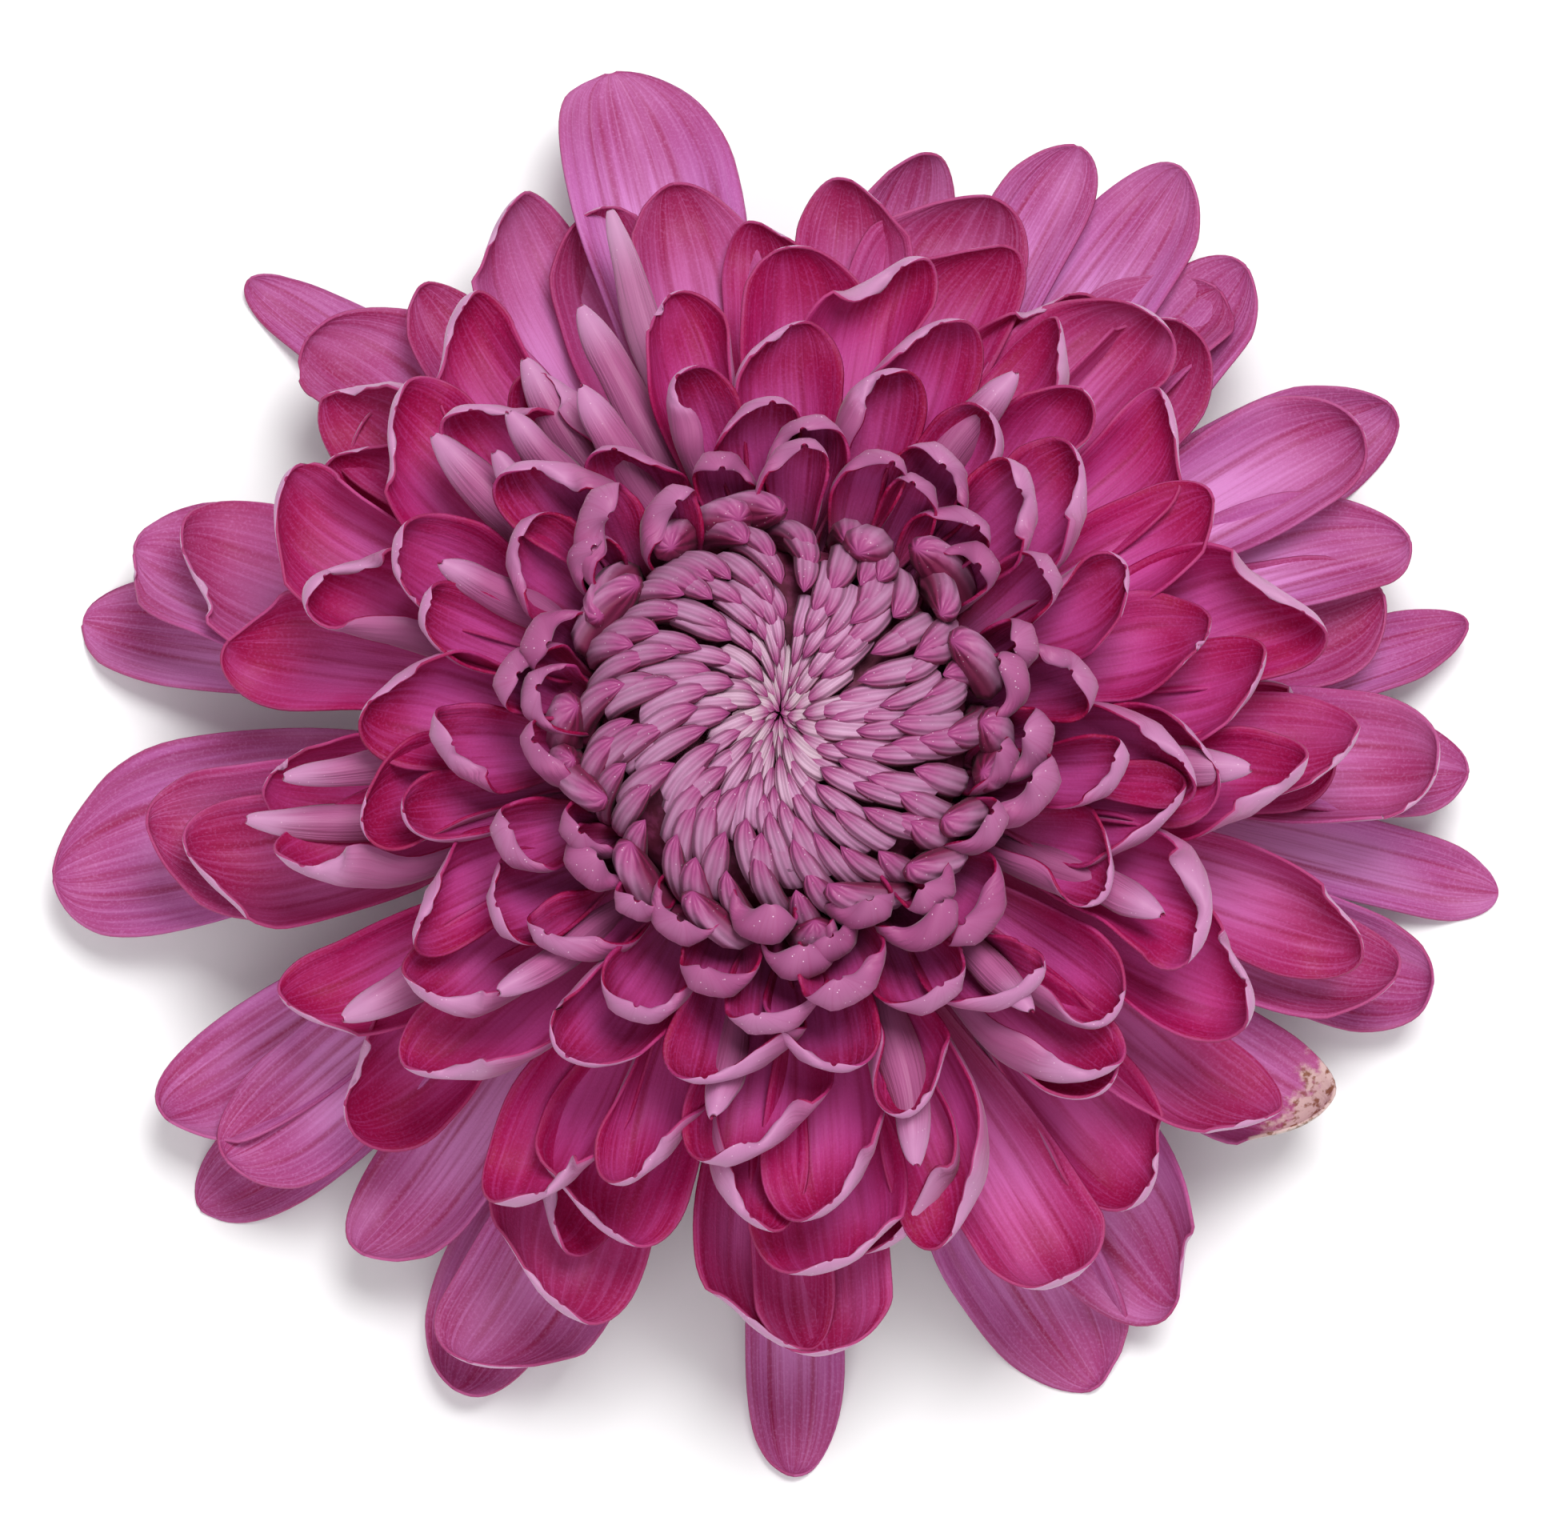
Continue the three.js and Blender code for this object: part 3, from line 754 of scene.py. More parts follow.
@dataclass
class RayFloret:
    """One ray floret, from where its tip lies on the bloom. A folded one has a width of its own."""

    index: int
    bearing: float
    reach: float
    width: float
    crest: float
    folded: bool = False
    lift: float = 0.0
    lean: float | None = None
    habit: RayHabit = RayHabit()

    def __post_init__(self) -> None:
        """Works out the floret's form from its place on the bloom."""
        habit = self.habit
        index = self.index
        span = habit.bloom_radius - habit.inner_reach
        inward = min(max((habit.bloom_radius - self.reach) / span, 0.0), 1.0)
        hooded = max(inward - habit.hooded_from, 0.0) / habit.hooded_span
        loosened = min(inward * 2.2, 1)
        closing = min(inward * 3, 1)
        lower = -math.sin(math.radians(self.bearing))
        self.inward = inward
        self.half_width = self.width / 2 * (1 - 0.08 * hooded)
        self.base = (habit.root_radius.at(inward), habit.root_height.at(inward) + 0.7 * self.lift)
        self.crest += self.lift
        self.start = math.radians(habit.start_slope.at(inward) + spread(index, Trait.START, 6))
        self.end = math.radians(habit.end_slope.at(inward) + spread(index, Trait.END, 10))
        self.hook_radius = habit.hook_radius.at(inward)
        leaning = habit.tip_slope.at(inward) + 2 * lower + habit.hooded_slope * hooded
        self.hook = max(math.radians(leaning + spread(index, Trait.TIP, 24)) - self.end, habit.least_hook)
        beak = habit.beak.at(closing) * (1 - hooded) * (0.3 + chance(index, Trait.BEAK))
        self.beak = math.radians(beak)
        self.flat_tip = habit.flat_tip.at(hooded)
        cup = habit.cup.at(inward) + habit.hooded_cup * hooded + spread(index, Trait.CUP, 12)
        self.cup = math.radians(cup)
        self.roll = math.radians(spread(index, Trait.ROLL, habit.roll) * (1 - 0.6 * hooded))
        twist = spread(index, Trait.TWIST, habit.twist.at(loosened)) * (1 - 0.5 * hooded)
        self.twist = math.radians(twist)
        curled = habit.curl * min(inward * 2, 1) * (1 - min(hooded * 2, 1))
        self.curl = math.copysign(chance(index, Trait.CURL) * curled, spread(index, Trait.CURL_SIDE, 1))
        self.shoulder = habit.shoulder.at(inward) - 0.16 * hooded + spread(index, Trait.SHOULDER, 0.05)
        self.roundness = habit.roundness.at(inward) + spread(index, Trait.ROUNDNESS, 0.2)
        self.point = habit.point.at(closing * (1 - hooded)) + spread(index, Trait.POINT, 0.03)
        if self.folded:
            self.fold()
        if self.lean is None:
            self.lean = spread(index, Trait.LEAN, habit.lean.at(inward))
        self.skew = math.copysign(chance(index, Trait.SKEW) * habit.skew.at(loosened), -self.twist)

    def fold(self) -> None:
        """Makes the floret a narrow quill that shows its reverse."""
        habit = self.habit
        self.half_width = habit.folded_radius * (1 + spread(self.index, Trait.FOLD_WIDTH, 0.2))
        self.cup = math.radians(habit.folded_cup)
        self.roll = math.radians(math.copysign(habit.folded_roll, spread(self.index, Trait.FOLD_SIDE, 1)))
        self.flat_tip = self.curl = self.twist = self.beak = 0.0
        self.shoulder = habit.folded_shoulder
        self.roundness = habit.folded_roundness
        self.point = habit.point.first
        self.hook = min(self.hook, habit.folded_hook)

    def midrib(self, along: Array) -> tuple[Array, Array, Array]:
        """The line under the floret's middle.

        Args:
            along: shares of its length, 0 at the root and 1 at the tip.

        Returns:
            Radius, height and slope at each share.
        """
        habit = self.habit
        share = np.linspace(0, 1, habit.hook_steps + 1)
        angles = self.end + self.hook * share + self.beak * smoothstep(share, 0.72, 1.0)
        arc = self.hook_radius * self.hook
        ahead, above = (
            np.concatenate([[0.0], np.cumsum(part(angles[:-1]))]) * arc / habit.hook_steps
            for part in (np.cos, np.sin)
        )
        root = np.array(self.base)
        bend = np.array([self.reach - ahead.max(), self.crest])
        handle = habit.handle * np.linalg.norm(bend - root)
        out = root + handle * np.array([math.cos(self.start), math.sin(self.start)])
        back = bend - handle * np.array([math.cos(self.end), math.sin(self.end)])
        t = np.linspace(0, 1, habit.line_steps + 1)[:, None]
        line = (1 - t) ** 3 * root + 3 * (1 - t) ** 2 * t * out + 3 * (1 - t) * t**2 * back + t**3 * bend
        steps = np.linalg.norm(np.diff(line, axis=0), axis=1)
        travelled = np.concatenate([[0.0], np.cumsum(steps)])
        straight = travelled[-1]
        slopes = np.arctan2(np.gradient(line[:, 1]), np.gradient(line[:, 0]))
        where = along * (straight + arc)
        radius, height, slope = (np.interp(where, travelled, row) for row in (line[:, 0], line[:, 1], slopes))
        hooking = where > straight
        reached = (where[hooking] - straight) / arc
        radius[hooking] = bend[0] + np.interp(reached, share, ahead)
        height[hooking] = bend[1] + np.interp(reached, share, above)
        slope[hooking] = np.interp(reached, share, angles)
        return radius, height, slope

    def surface(self, across: Array, along: Array) -> Array:
        """The upper face of the floret before it is turned to its bearing.

        Args:
            across: -1 at the left edge and 1 at the right edge.
            along: 0 at the root and 1 at the tip.

        Returns:
            Points outwards, across and up, in millimetres.
        """
        habit = self.habit
        radius, height, slope = self.midrib(along)
        past = np.clip((along - self.shoulder) / (1 - self.shoulder), 0, 1)
        claw = habit.claw_width + habit.claw_growth * smoothstep(along, 0.08, 0.74)
        opened = self.half_width * self.cup / math.sin(min(self.cup, math.pi / 2))
        taper = np.maximum(1 - past**self.roundness, 0.003) ** self.point
        half = opened * claw * taper
        cup = self.cup * (1 + 0.5 * (1 - smoothstep(along, 0, 0.5))) * (1 - self.flat_tip * (1 - taper))
        cup = cup * (1 + abs(self.curl) * (across * self.curl > 0) * smoothstep(along, 0.1, 0.4))
        side = half * np.sin(cup * across) / cup
        rise = half * (1 - np.cos(cup * across)) / cup
        open_part = smoothstep(along, 0.25, 0.6)
        grooves = np.exp(-(((np.abs(across) - habit.groove_at) / habit.groove_width) ** 2))
        grooved = habit.groove_depth.at(self.inward) * grooves * open_part
        rise = rise - grooved * (1 - smoothstep(along, 0.85, 1.0))
        waves = along * lerp(*habit.ripples, chance(self.index, Trait.RIPPLES))
        ripple = np.sin(2 * math.pi * (waves + chance(self.index, Trait.RIPPLE_START)))
        rippled = habit.ripple_height.at(self.inward) * open_part * (1 - smoothstep(along, 0.78, 0.95))
        rise = rise + rippled * ripple * across**2 * np.sign(across)
        rolled = smoothstep(along, 0.0, 0.55) if self.folded else along
        roll = self.roll * rolled + self.twist * smoothstep(along, 0.6, 1.0)
        drift = self.lean * along**2 + self.skew * self.half_width * past**2
        pivot = half / cup if self.folded else 0.0
        turned_side = side * np.cos(roll) - (rise - pivot) * np.sin(roll) + drift
        turned_rise = side * np.sin(roll) + (rise - pivot) * np.cos(roll) + pivot
        return np.stack(
            [radius - turned_rise * np.sin(slope), turned_side, height + turned_rise * np.cos(slope)], axis=1
        )


@dataclass
class Rays:
    """The ray florets in their layers, from the flat outermost ones to the hooked ones round the button."""

    axis: Vector
    ruled: int = 114
    ruled_reach: Change = Change(48.0, 20.8, 0.95)
    ruled_width: Change = Change(12.2, 4.7, 1.1)
    crown_ring: float = 0.84
    uphill_reach: float = 0.06
    dome_radius: float = 17.0
    dome_skirt: float = 45.0
    dome_drop: float = 0.88
    dome_power: float = 1.6
    crest_height: float = 43.0
    fullness: float = 1.26
    shingle: float = 1.2
    thickness: float = 0.26
    worn_floret: int = 21
    outermost_shade: float = 0.35
    inset: float = 0.3
    highest_crest: float = 42.4
    squares_across: int = 14
    squares_along: int = 30
    tip_crowding: float = 2.1
    heart: tuple[Point, ...] = (
        (12.0, 16.8), (15.0, 19.0), (16.6, 24.0), (16.6, 30.0), (15.0, 32.7), (1.0, 32.7),
    )
    # The listed florets: bearing, reach, width, tip height and, where it is set, lean.
    outermost: tuple[tuple[float, ...], ...] = (
        (3.1, 59.5, 9, 6, 0), (7.5, 61.5, 5, 3, 8.5), (27.5, 58.5, 9, 9, -4), (36.7, 64.6, 9.6, 0, -2),
        (46, 61, 9, 11, 3), (58.2, 65.6, 10, 8, -1), (68, 62.8, 6.3, 9.5, -2), (102.3, 66.6, 10.8, 7, 0),
        (125.8, 66, 6, 0, 9.5), (160, 60, 12, 8, -1), (162.2, 63.5, 9, 0, 2), (182, 63, 14, 4, 3),
        (207.3, 59.5, 9, 6, 2), (212, 57, 10, 9, 3.5), (215, 61, 8, 0, 0), (227, 53.5, 8.2, 8, 3),
        (242, 58, 9, 2, -2), (247.7, 55.5, 9.4, 7, -4), (271, 58, 6.2, 0, 0.2), (294.7, 57, 9.5, 0, 5),
        (308.9, 55.2, 11, 6, 1), (325.8, 53.8, 10, 8, 1), (343.5, 58.4, 8, 4, 0), (355, 63, 5, 0, -1.4),
    )
    second: tuple[tuple[float, ...], ...] = (
        (4.5, 47, 10, 15), (21, 55, 9, 9), (32.3, 59, 10, 9, 1), (55, 58, 9, 12, -5), (49.5, 52, 9, 15, -1),
        (62, 48, 9, 19), (74, 53.5, 11, 14), (77.8, 58, 8, 8), (81, 52, 8, 15.5), (90, 48, 8, 18),
        (99.5, 53, 8.5, 13, 0), (110.5, 53, 9, 12), (116.8, 56, 9, 9, 0), (124.5, 53.5, 8, 14, 2),
        (132, 56.6, 10, 9, 2), (141.5, 46.5, 9, 20, 0), (145, 46, 8, 20), (161, 55, 10, 13),
        (163.5, 48, 9, 19), (183.5, 43, 7, 24), (187, 54, 10, 13, 0), (191.5, 50.5, 11, 18, 0),
        (211.5, 46, 8, 20), (218, 46.5, 10, 19, 0), (239, 43.5, 9, 19), (245, 49.5, 11, 19, 0),
        (250, 43, 10, 23), (267.5, 49, 8.5, 19, 0), (274.6, 50, 9, 17, 0), (287, 42, 10, 24),
        (295.5, 50, 9, 18, 3), (309, 47.5, 10, 18, 2), (321.5, 50.5, 9, 16, 0), (340.6, 55, 8, 12, 0),
        (345, 51, 9, 16, 0), (1, 56, 10, 12, 0),
    )
    # The quills: bearing and reach.
    quilled: tuple[Point, ...] = (
        (124, 38.5), (129, 35), (118, 33), (140.5, 38.5), (355, 39), (309, 31.5), (292, 37.5), (152, 31),
        (262, 33), (334, 35), (62, 36),
    )
    ruled_quill_share: float = 0.95
    ruled_quill_reach: float = 27.0
    quill_lift: float = 1.8

    def crest_at(self, reach: float) -> float:
        """The height of a tip on the domed face of the bloom."""
        outward = min(max((reach - self.dome_radius) / self.dome_skirt, 0.0), 1.0)
        return self.crest_height * (1 - self.dome_drop * outward**self.dome_power)

    def florets(self) -> list[RayFloret]:
        """The listed florets, then those placed by rule from the outside inwards, then the quills."""
        listed = [*self.outermost, *self.second]
        made = []
        for index, (bearing, reach, width, crest, *lean) in enumerate(listed):
            full = width * self.fullness * (1 + spread(index, Trait.WIDTH, 0.12))
            lift = self.shingle * (-1) ** index if index >= len(self.outermost) else 0.0
            leaning = lean[0] if lean else None
            made.append(RayFloret(index, bearing, reach - self.inset, full, crest, lift=lift, lean=leaning))
        for step in range(self.ruled):
            index = len(listed) + step
            bearing = step * GOLDEN_ANGLE + spread(index, Trait.BEARING, 4)
            along = step / (self.ruled - 1)
            mean = self.ruled_reach.at(min(along / self.crown_ring, 1.0)) + spread(index, Trait.REACH, 1.5)
            reach = mean * (1 + self.uphill_reach * math.sin(math.radians(bearing)))
            width = self.ruled_width.at(along) * (1 + spread(index, Trait.WIDTH, 0.16))
            folded = chance(index, Trait.FOLD) > self.ruled_quill_share and reach > self.ruled_quill_reach
            crest = min(self.crest_at(reach) + spread(index, Trait.CREST, 1.2), self.highest_crest)
            crest += self.quill_lift if folded else 0.0
            made.append(RayFloret(index, bearing, reach, width, crest, folded))
        for bearing, reach in self.quilled:
            crest = self.crest_at(reach) + self.quill_lift
            made.append(RayFloret(len(made), bearing, reach, 0.0, crest, folded=True))
        return made

    def blade(self) -> Piece:
        """The flat blade that every floret is a copy of."""
        blade = flat_blade(self.squares_across, self.squares_along)
        blade.data.materials.append(PetalFace().material())
        blade.data.materials.append(PetalReverse().material())
        return blade

    def whorl(self, name: str, blade: Piece, florets: list[RayFloret]) -> Piece:
        """Shapes a copy of the blade for each floret and joins them.

        Args:
            name: the piece's name.
            blade: the flat blade.
            florets: the florets of this whorl.

        Returns:
            The whorl, with both faces and its thickness.
        """
        flat = vertices_of(blade)
        across = -flat[:, 0] * 2
        along = 1 - (1 - (flat[:, 1] + 0.5)) ** self.tip_crowding
        copies = []
        for floret in florets:
            shape = floret.surface(across, np.clip(along, 0, 1))
            places = turned(shape, math.radians(floret.bearing), self.axis)
            places[:, 2] = np.maximum(places[:, 2], self.thickness * MM)
            worn = 1.0 if floret.index == self.worn_floret else 0.0
            shade = self.outermost_shade if floret.index < len(self.outermost) else 1.0
            luck = chance(floret.index, Trait.LUCK)
            traits = {"inward": floret.inward * shade, "luck": luck, "worn": worn, "along": along}
            copies.append(copied(blade, places, traits))
        piece = merged(name, copies)
        apply_modifier(
            piece,
            "SOLIDIFY",
            thickness=self.thickness * MM,
            offset=-1.0,
            material_offset=Side.REVERSE.value,
            material_offset_rim=Side.FACE.value,
        )
        return piece

    def receptacle(self) -> Piece:
        """The solid heart that the florets grow from."""
        (first, low), *rest = self.heart
        core = lathed("receptacle", first, low, rest, self.axis)
        core.data.materials.append(Flesh().material())
        return core

    def build(self) -> list[Piece]:
        """Models the whorls."""
        blade = self.blade()
        florets = self.florets()
        first = len(self.outermost)
        second = first + len(self.second)
        third = second + self.ruled // 2
        groups = {
            "outer_rays": florets[:first],
            "second_rays": florets[first:second],
            "middle_rays": florets[second:third],
            "inner_rays": florets[third:],
        }
        pieces = [self.whorl(name, blade, group) for name, group in groups.items()]
        bpy.data.objects.remove(blade)
        return [*pieces, self.receptacle()]

    def dress(self, pieces: list[Piece]) -> None:
        """Puts the whorls in the place of their solid."""
        for piece in pieces:
            placed(piece, "ray_florets")


@dataclass(frozen=True)
class Finger:
    """One incurved centre floret: where its tip lies on the button, and its size."""

    index: int
    outward: float
    tip_radius: float
    length: float
    half_width: float
    depth: float
    sink: float
    bearing: float
    sweep: float


@dataclass
class Button:
    """The domed button of incurved centre florets with a dimple in its middle. Widths are half widths."""

    axis: Vector
    radius: float = 19.5
    waist: float = 36.5
    crown: float = 10.6
    dimple_depth: float = 2.6
    dimple_radius: float = 5.0
    fingers: int = 190
    outer_tip: float = 14.6
    swirl: float = 9.0
    spiral_length: Change = Change(2.8, 13.5, 0.8)
    spiral_width: Change = Change(0.42, 1.5, 0.75)
    spiral_depth: float = 0.4
    spiral_sink: float = 0.24
    rim_fingers: int = 21
    rim_tip: Range = (14.0, 17.0)
    rim_length: Range = (6.6, 9.0)
    rim_width: Range = (1.75, 2.35)
    rim_depth: float = -0.9
    rim_sink: float = 0.3
    finger_sides: int = 9
    finger_rings: int = 8
    finger_swell: float = 0.42
    finger_close: float = 0.86
    close_length: float = 0.14
    finger_height: float = 0.95
    slope_step: float = 0.02
    core_depth: float = 4.0
    core_foot: Point = (12.0, 33.15)
    core_angles: tuple[float, ...] = (100.0, 84.0, 68.0, 52.0, 36.0, 20.0, 6.0)
    heart_radius: float = 6.5
    heart_squeeze: float = 0.25
    heart_stretch: float = 0.5

    def point(self, angle: Array, depth: Array) -> tuple[Array, Array]:
        """Radius and height on the button's face, by the angle from its crown."""
        radius = (self.radius - depth) * np.sin(angle)
        dimple = self.dimple_depth * np.exp(-((radius / self.dimple_radius) ** 2))
        return radius, self.waist + (self.crown - depth) * np.cos(angle) - dimple

    def florets(self) -> list[Finger]:
        """The fingers of the spiral, from the dimple outwards, and the plump ones at its rim."""
        made = []
        for index in range(self.fingers):
            outward = (index + 0.5) / self.fingers
            made.append(
                Finger(
                    index,
                    outward,
                    tip_radius=self.outer_tip * outward**1.1 * (1 + spread(index, Trait.FINGER_TIP, 0.07)),
                    length=self.spiral_length.at(outward) * (1 + spread(index, Trait.FINGER_LENGTH, 0.1)),
                    half_width=self.spiral_width.at(outward) * (1 + spread(index, Trait.FINGER_WIDTH, 0.14)),
                    depth=self.spiral_depth + spread(index, Trait.FINGER_DEPTH, 0.35),
                    sink=self.spiral_sink,
                    bearing=index * GOLDEN_ANGLE + spread(index, Trait.FINGER_BEARING, 5),
                    sweep=self.swirl + spread(index, Trait.FINGER_SWEEP, 6),
                )
            )
        for step in range(self.rim_fingers):
            index = self.fingers + step
            made.append(
                Finger(
                    index,
                    1.0,
                    tip_radius=lerp(*self.rim_tip, chance(index, Trait.FINGER_TIP)),
                    length=lerp(*self.rim_length, chance(index, Trait.FINGER_LENGTH)),
                    half_width=lerp(*self.rim_width, chance(index, Trait.FINGER_WIDTH)),
                    depth=self.rim_depth + spread(index, Trait.FINGER_DEPTH, 0.5),
                    sink=self.rim_sink,
                    bearing=(step + spread(index, Trait.FINGER_BEARING, 0.35)) * 360 / self.rim_fingers,
                    sweep=spread(index, Trait.FINGER_SWEEP, 22),
                )
            )
        return made

    def skin(self, finger: Finger, around: Array, along: Array) -> Array:
        """The skin of one finger.

        Args:
            finger: the finger.
            around: angle round the finger, in radians.
            along: 0 at the tip and 1 at the root.

        Returns:
            Its points in metres.
        """
        angle = math.asin(finger.tip_radius / self.radius) + finger.length * along / self.radius
        body = np.clip(1 - (1 - np.minimum(along / self.finger_swell, 1.0)) ** 2.0, 0, 1) ** 0.7
        closed = np.clip((along - self.finger_close) / self.close_length, 0, 1)
        half = finger.half_width * body * np.sqrt(np.clip(1 - closed**2, 0, 1))
        side = half * np.cos(around)
        up = self.finger_height * half * np.sin(around)
        depth = finger.depth + finger.sink * finger.length * along
        radius, height = self.point(angle, depth)
        ahead_radius, ahead_height = self.point(angle + self.slope_step, depth)
        slope = np.arctan2(ahead_height - height, ahead_radius - radius)
        bearing = math.radians(finger.bearing) + math.radians(finger.sweep) * along
        shape = np.stack([radius - up * np.sin(slope), side, height + up * np.cos(slope)], axis=1)
        places = turned(shape, bearing, self.axis)
        east = places[:, 0] - self.axis.x
        north = places[:, 1] - self.axis.y
        near = np.exp(-(east**2 + north**2) / (self.heart_radius * MM) ** 2)
        places[:, 0] = self.axis.x + east * (1 - self.heart_squeeze * near)
        places[:, 1] = self.axis.y + north * (1 + self.heart_stretch * near)
        return places

    def core(self) -> Piece:
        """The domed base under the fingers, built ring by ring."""
        rings = []
        for angle in np.radians(self.core_angles):
            radius, height = self.point(angle, self.core_depth)
            rings.append((float(radius), float(height)))
        core = lathed("button_core", *self.core_foot, rings, self.axis)
        core.data.materials.append(Flesh().material())
        return core

    def build(self) -> list[Piece]:
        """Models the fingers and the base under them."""
        sphere = bpy.ops.mesh.primitive_uv_sphere_add
        model = added(sphere, segments=self.finger_sides, ring_count=self.finger_rings, radius=1.0)
        model.data.materials.append(FingerFinish().material())
        ball = vertices_of(model)
        around = np.arctan2(ball[:, 1], ball[:, 0]) + math.pi / 2
        along = np.arccos(np.clip(ball[:, 2], -1, 1)) / math.pi
        ridge = np.sin(around)
        copies = []
        for finger in self.florets():
            luck = chance(finger.index, Trait.FINGER_LUCK)
            traits = {"outward": finger.outward, "luck": luck, "ridge": ridge, "along": along}
            copies.append(copied(model, self.skin(finger, around, along), traits))
        bpy.data.objects.remove(model)
        return [merged("button_fingers", copies), self.core()]

    def dress(self, pieces: list[Piece]) -> None:
        """Puts the fingers in the place of their solid."""
        for piece in pieces:
            placed(piece, "centre_florets")


@dataclass
class Underside:
    """The cut stalk and the cup of overlapping bracts under the head."""

    axis: Vector
    foot: Point = (3.3, 0.0)
    flare: tuple[Point, ...] = (
        (3.15, 1.5), (3.1, 3.0), (3.2, 4.6), (3.63, 6.0), (5.4, 7.1), (8.06, 8.6), (10.3, 10.2), (11.7, 12.0),
        (12.6, 14.2), (13.0, 16.5),
    )
    sides: int = 40
    ribs: int = 8
    rib_depth: float = 0.07
    row_size: int = 14
    bract_width: float = 5.0
    bract_thickness: float = 0.45
    bract_squares: tuple[int, int] = (6, 9)
    bract_taper: float = 0.9
    taper_from: float = 0.35
    taper_power: float = 2.2
    bract_cup: float = 0.24
    midrib_height: float = 0.25
    midrib_width: float = 0.2
    rows: tuple[tuple[Point, ...], ...] = (
        ((4.4, 7.0), (9.4, 7.0), (11.6, 11.3)),
        ((7.0, 8.2), (12.2, 8.9), (13.3, 14.2)),
        ((9.6, 10.0), (13.8, 11.4), (14.0, 16.4)),
    )

    def stalk(self) -> Piece:
        """The ribbed stalk that widens into the cup."""
        body = lathed("stalk", *self.foot, list(self.flare), self.axis, self.sides)
        places = vertices_of(body)
        x = places[:, 0] - self.axis.x
        y = places[:, 1] - self.axis.y
        ribbed = 1 - self.rib_depth * (0.5 - 0.5 * np.cos(np.arctan2(y, x) * self.ribs))
        places[:, 0] = self.axis.x + x * ribbed
        places[:, 1] = self.axis.y + y * ribbed
        body.data.vertices.foreach_set("co", places.ravel())
        return body

    def bract(self, blade: Piece, row: int, place: int) -> Piece:
        """One bract, bent round the cup.

        Args:
            blade: the flat blade that it is a copy of.
            row: its row, from the stalk outwards.
            place: its place in the row.

        Returns:
            The bract.
        """
        flat = vertices_of(blade)
        across = -flat[:, 0] * 2
        along = flat[:, 1] + 0.5
        foot, middle, tip = (np.array(point) for point in self.rows[row])
        number = row * self.row_size + place
        t = along[:, None]
        line = (1 - t) ** 2 * foot + 2 * t * (1 - t) * middle + t**2 * tip
        step = 2 * (1 - t) * (middle - foot) + 2 * t * (tip - middle)
        slope = np.arctan2(step[:, 1], step[:, 0])
        past = np.clip((along - self.taper_from) / (1 - self.taper_from), 0, 1)
        widest = self.bract_width / 2 * (1 + spread(number, Trait.BRACT_WIDTH, 0.1))
        half = widest * (1 - self.bract_taper * past**self.taper_power)
        side = half * across
        midrib = self.midrib_height * np.exp(-((across / self.midrib_width) ** 2))
        rise = self.bract_cup * half * across**2 - midrib
        bow = np.sqrt(np.maximum(line[:, 0] ** 2 - side**2, 0.01))
        shape = np.stack([bow - rise * np.sin(slope), side, line[:, 1] + rise * np.cos(slope)], axis=1)
        even = (place + 0.5 * (row % 2)) * 360 / self.row_size
        bearing = math.radians(even + spread(number, Trait.BRACT_BEARING, 4))
        return copied(blade, turned(shape, bearing, self.axis), {})

    def build(self) -> list[Piece]:
        """Models the stalk and the bracts."""
        stalk = self.stalk()
        blade = flat_blade(*self.bract_squares)
        rows = range(len(self.rows))
        bracts = [self.bract(blade, row, place) for row in rows for place in range(self.row_size)]
        bpy.data.objects.remove(blade)
        cup = merged("bracts", bracts)
        apply_modifier(cup, "SOLIDIFY", thickness=self.bract_thickness * MM, offset=1.0)
        stalk.data.materials.append(GreenFinish().material("stalk_green", papery=False))
        cup.data.materials.append(GreenFinish().material("bract_green", papery=True))
        return [stalk, cup]

    def dress(self, pieces: list[Piece]) -> None:
        """Puts the green pieces in the place of their solid."""
        for piece in pieces:
            placed(piece, "stem_and_bracts")


@dataclass(frozen=True)
class Lamp:
    """One square, soft lamp that faces the bloom, in metres and watts."""

    name: str
    place: tuple[float, float, float]
    size: float
    power: float

    def hang(self) -> None:
        """Adds the lamp to the scene."""
        data = bpy.data.lights.new(self.name, "AREA")
        data.size = self.size
        data.energy = self.power
        lamp = bpy.data.objects.new(self.name, data)
        bpy.context.collection.objects.link(lamp)
        lamp.location = self.place
        lamp.rotation_euler = (-Vector(self.place)).to_track_quat("-Z", "Y").to_euler()


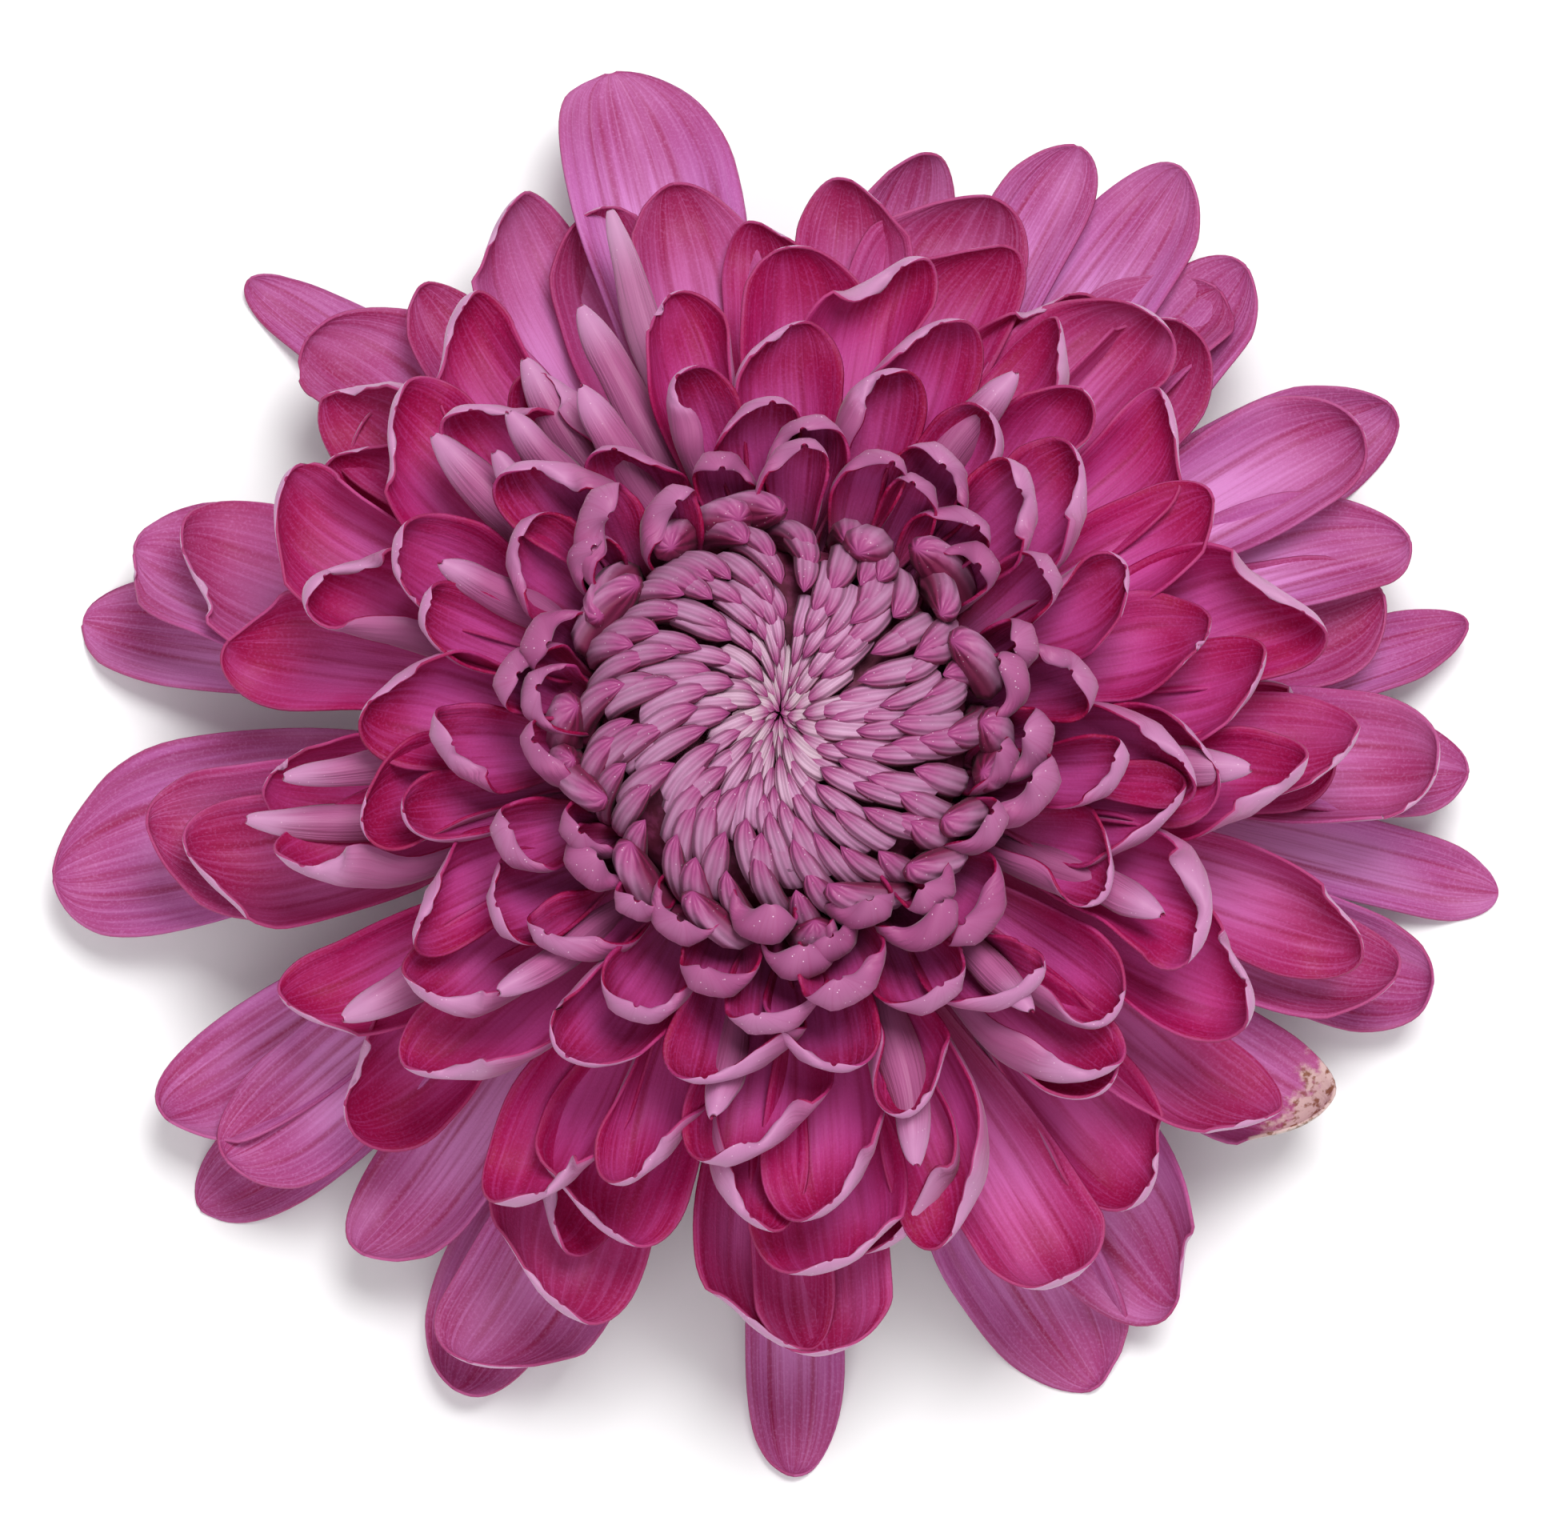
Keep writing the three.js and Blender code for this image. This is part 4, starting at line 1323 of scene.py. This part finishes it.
@dataclass
class Studio:
    """A pale floor in metres, soft light, and the camera, set in millimetres."""

    axis: Vector
    lamps: tuple[Lamp, ...] = (
        Lamp("key", (0.14, 0.25, 0.87), 0.4, 7.1),
        Lamp("fill", (-0.12, -0.6, 0.75), 0.9, 3.2),
    )
    sky: float = 0.42
    floor_colour: Colour = (0.93, 0.93, 0.93)
    floor_size: float = 6.0
    floor_drop: float = 0.0001
    sensor_width: float = 36.0
    elevation: float = 79.0
    pixels_wide: float = 1960.0
    mm_per_pixel: float = 0.066
    distance: float = 650.0
    apex_pixel: Point = (975.0, 885.0)
    centre_pixel: Point = (980.0, 948.0)
    apex_height: float = 46.0
    apex_nearer: float = 10.0

    def camera(self) -> None:
        """Sets the camera at the photograph's angle."""
        data = bpy.data.cameras.new("camera")
        data.sensor_width = self.sensor_width
        focal = self.distance / self.mm_per_pixel
        data.lens = focal / self.pixels_wide * data.sensor_width
        camera = bpy.data.objects.new("camera", data)
        bpy.context.collection.objects.link(camera)
        tilt = math.radians(self.elevation)
        forward = Vector((0, math.cos(tilt), -math.sin(tilt)))
        up = Vector((0, math.sin(tilt), math.cos(tilt)))
        sideways = Vector((1, 0, 0))
        across = self.apex_pixel[0] - self.centre_pixel[0]
        raised = self.centre_pixel[1] - self.apex_pixel[1]
        ray = (forward * focal + sideways * across + up * raised).normalized()
        apex = Vector((self.axis.x, self.axis.y, self.apex_height * MM))
        camera.location = apex - ray * ((self.distance - self.apex_nearer) * MM)
        camera.rotation_euler = (math.pi / 2 - tilt, 0, 0)
        bpy.context.scene.camera = camera

    def build(self) -> None:
        """Makes the floor, the lamps, the sky and the camera."""
        foot = (0, 0, -self.floor_drop)
        floor = added(bpy.ops.mesh.primitive_plane_add, size=self.floor_size, location=foot)
        floor.name = "floor"
        floor.data.materials.append(Tree("floor").finish(Base_Color=self.floor_colour, Roughness=0.9))
        for lamp in self.lamps:
            lamp.hang()
        world = bpy.data.worlds.new("sky")
        world.use_nodes = True
        background = world.node_tree.nodes["Background"]
        background.inputs["Color"].default_value = (1, 1, 1, 1)
        background.inputs["Strength"].default_value = self.sky
        bpy.context.scene.world = world
        bpy.context.scene.view_settings.view_transform = "Standard"
        self.camera()


def main() -> None:
    """Builds the bloom and its studio."""
    logging.basicConfig(level=logging.INFO, format="%(message)s")
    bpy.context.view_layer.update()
    low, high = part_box("stem_and_bracts")
    axis = (low + high) / 2
    for part in (Rays(axis), Button(axis), Underside(axis)):
        part.dress(part.build())
    Studio(axis).build()


if __name__ == "__main__":
    main()
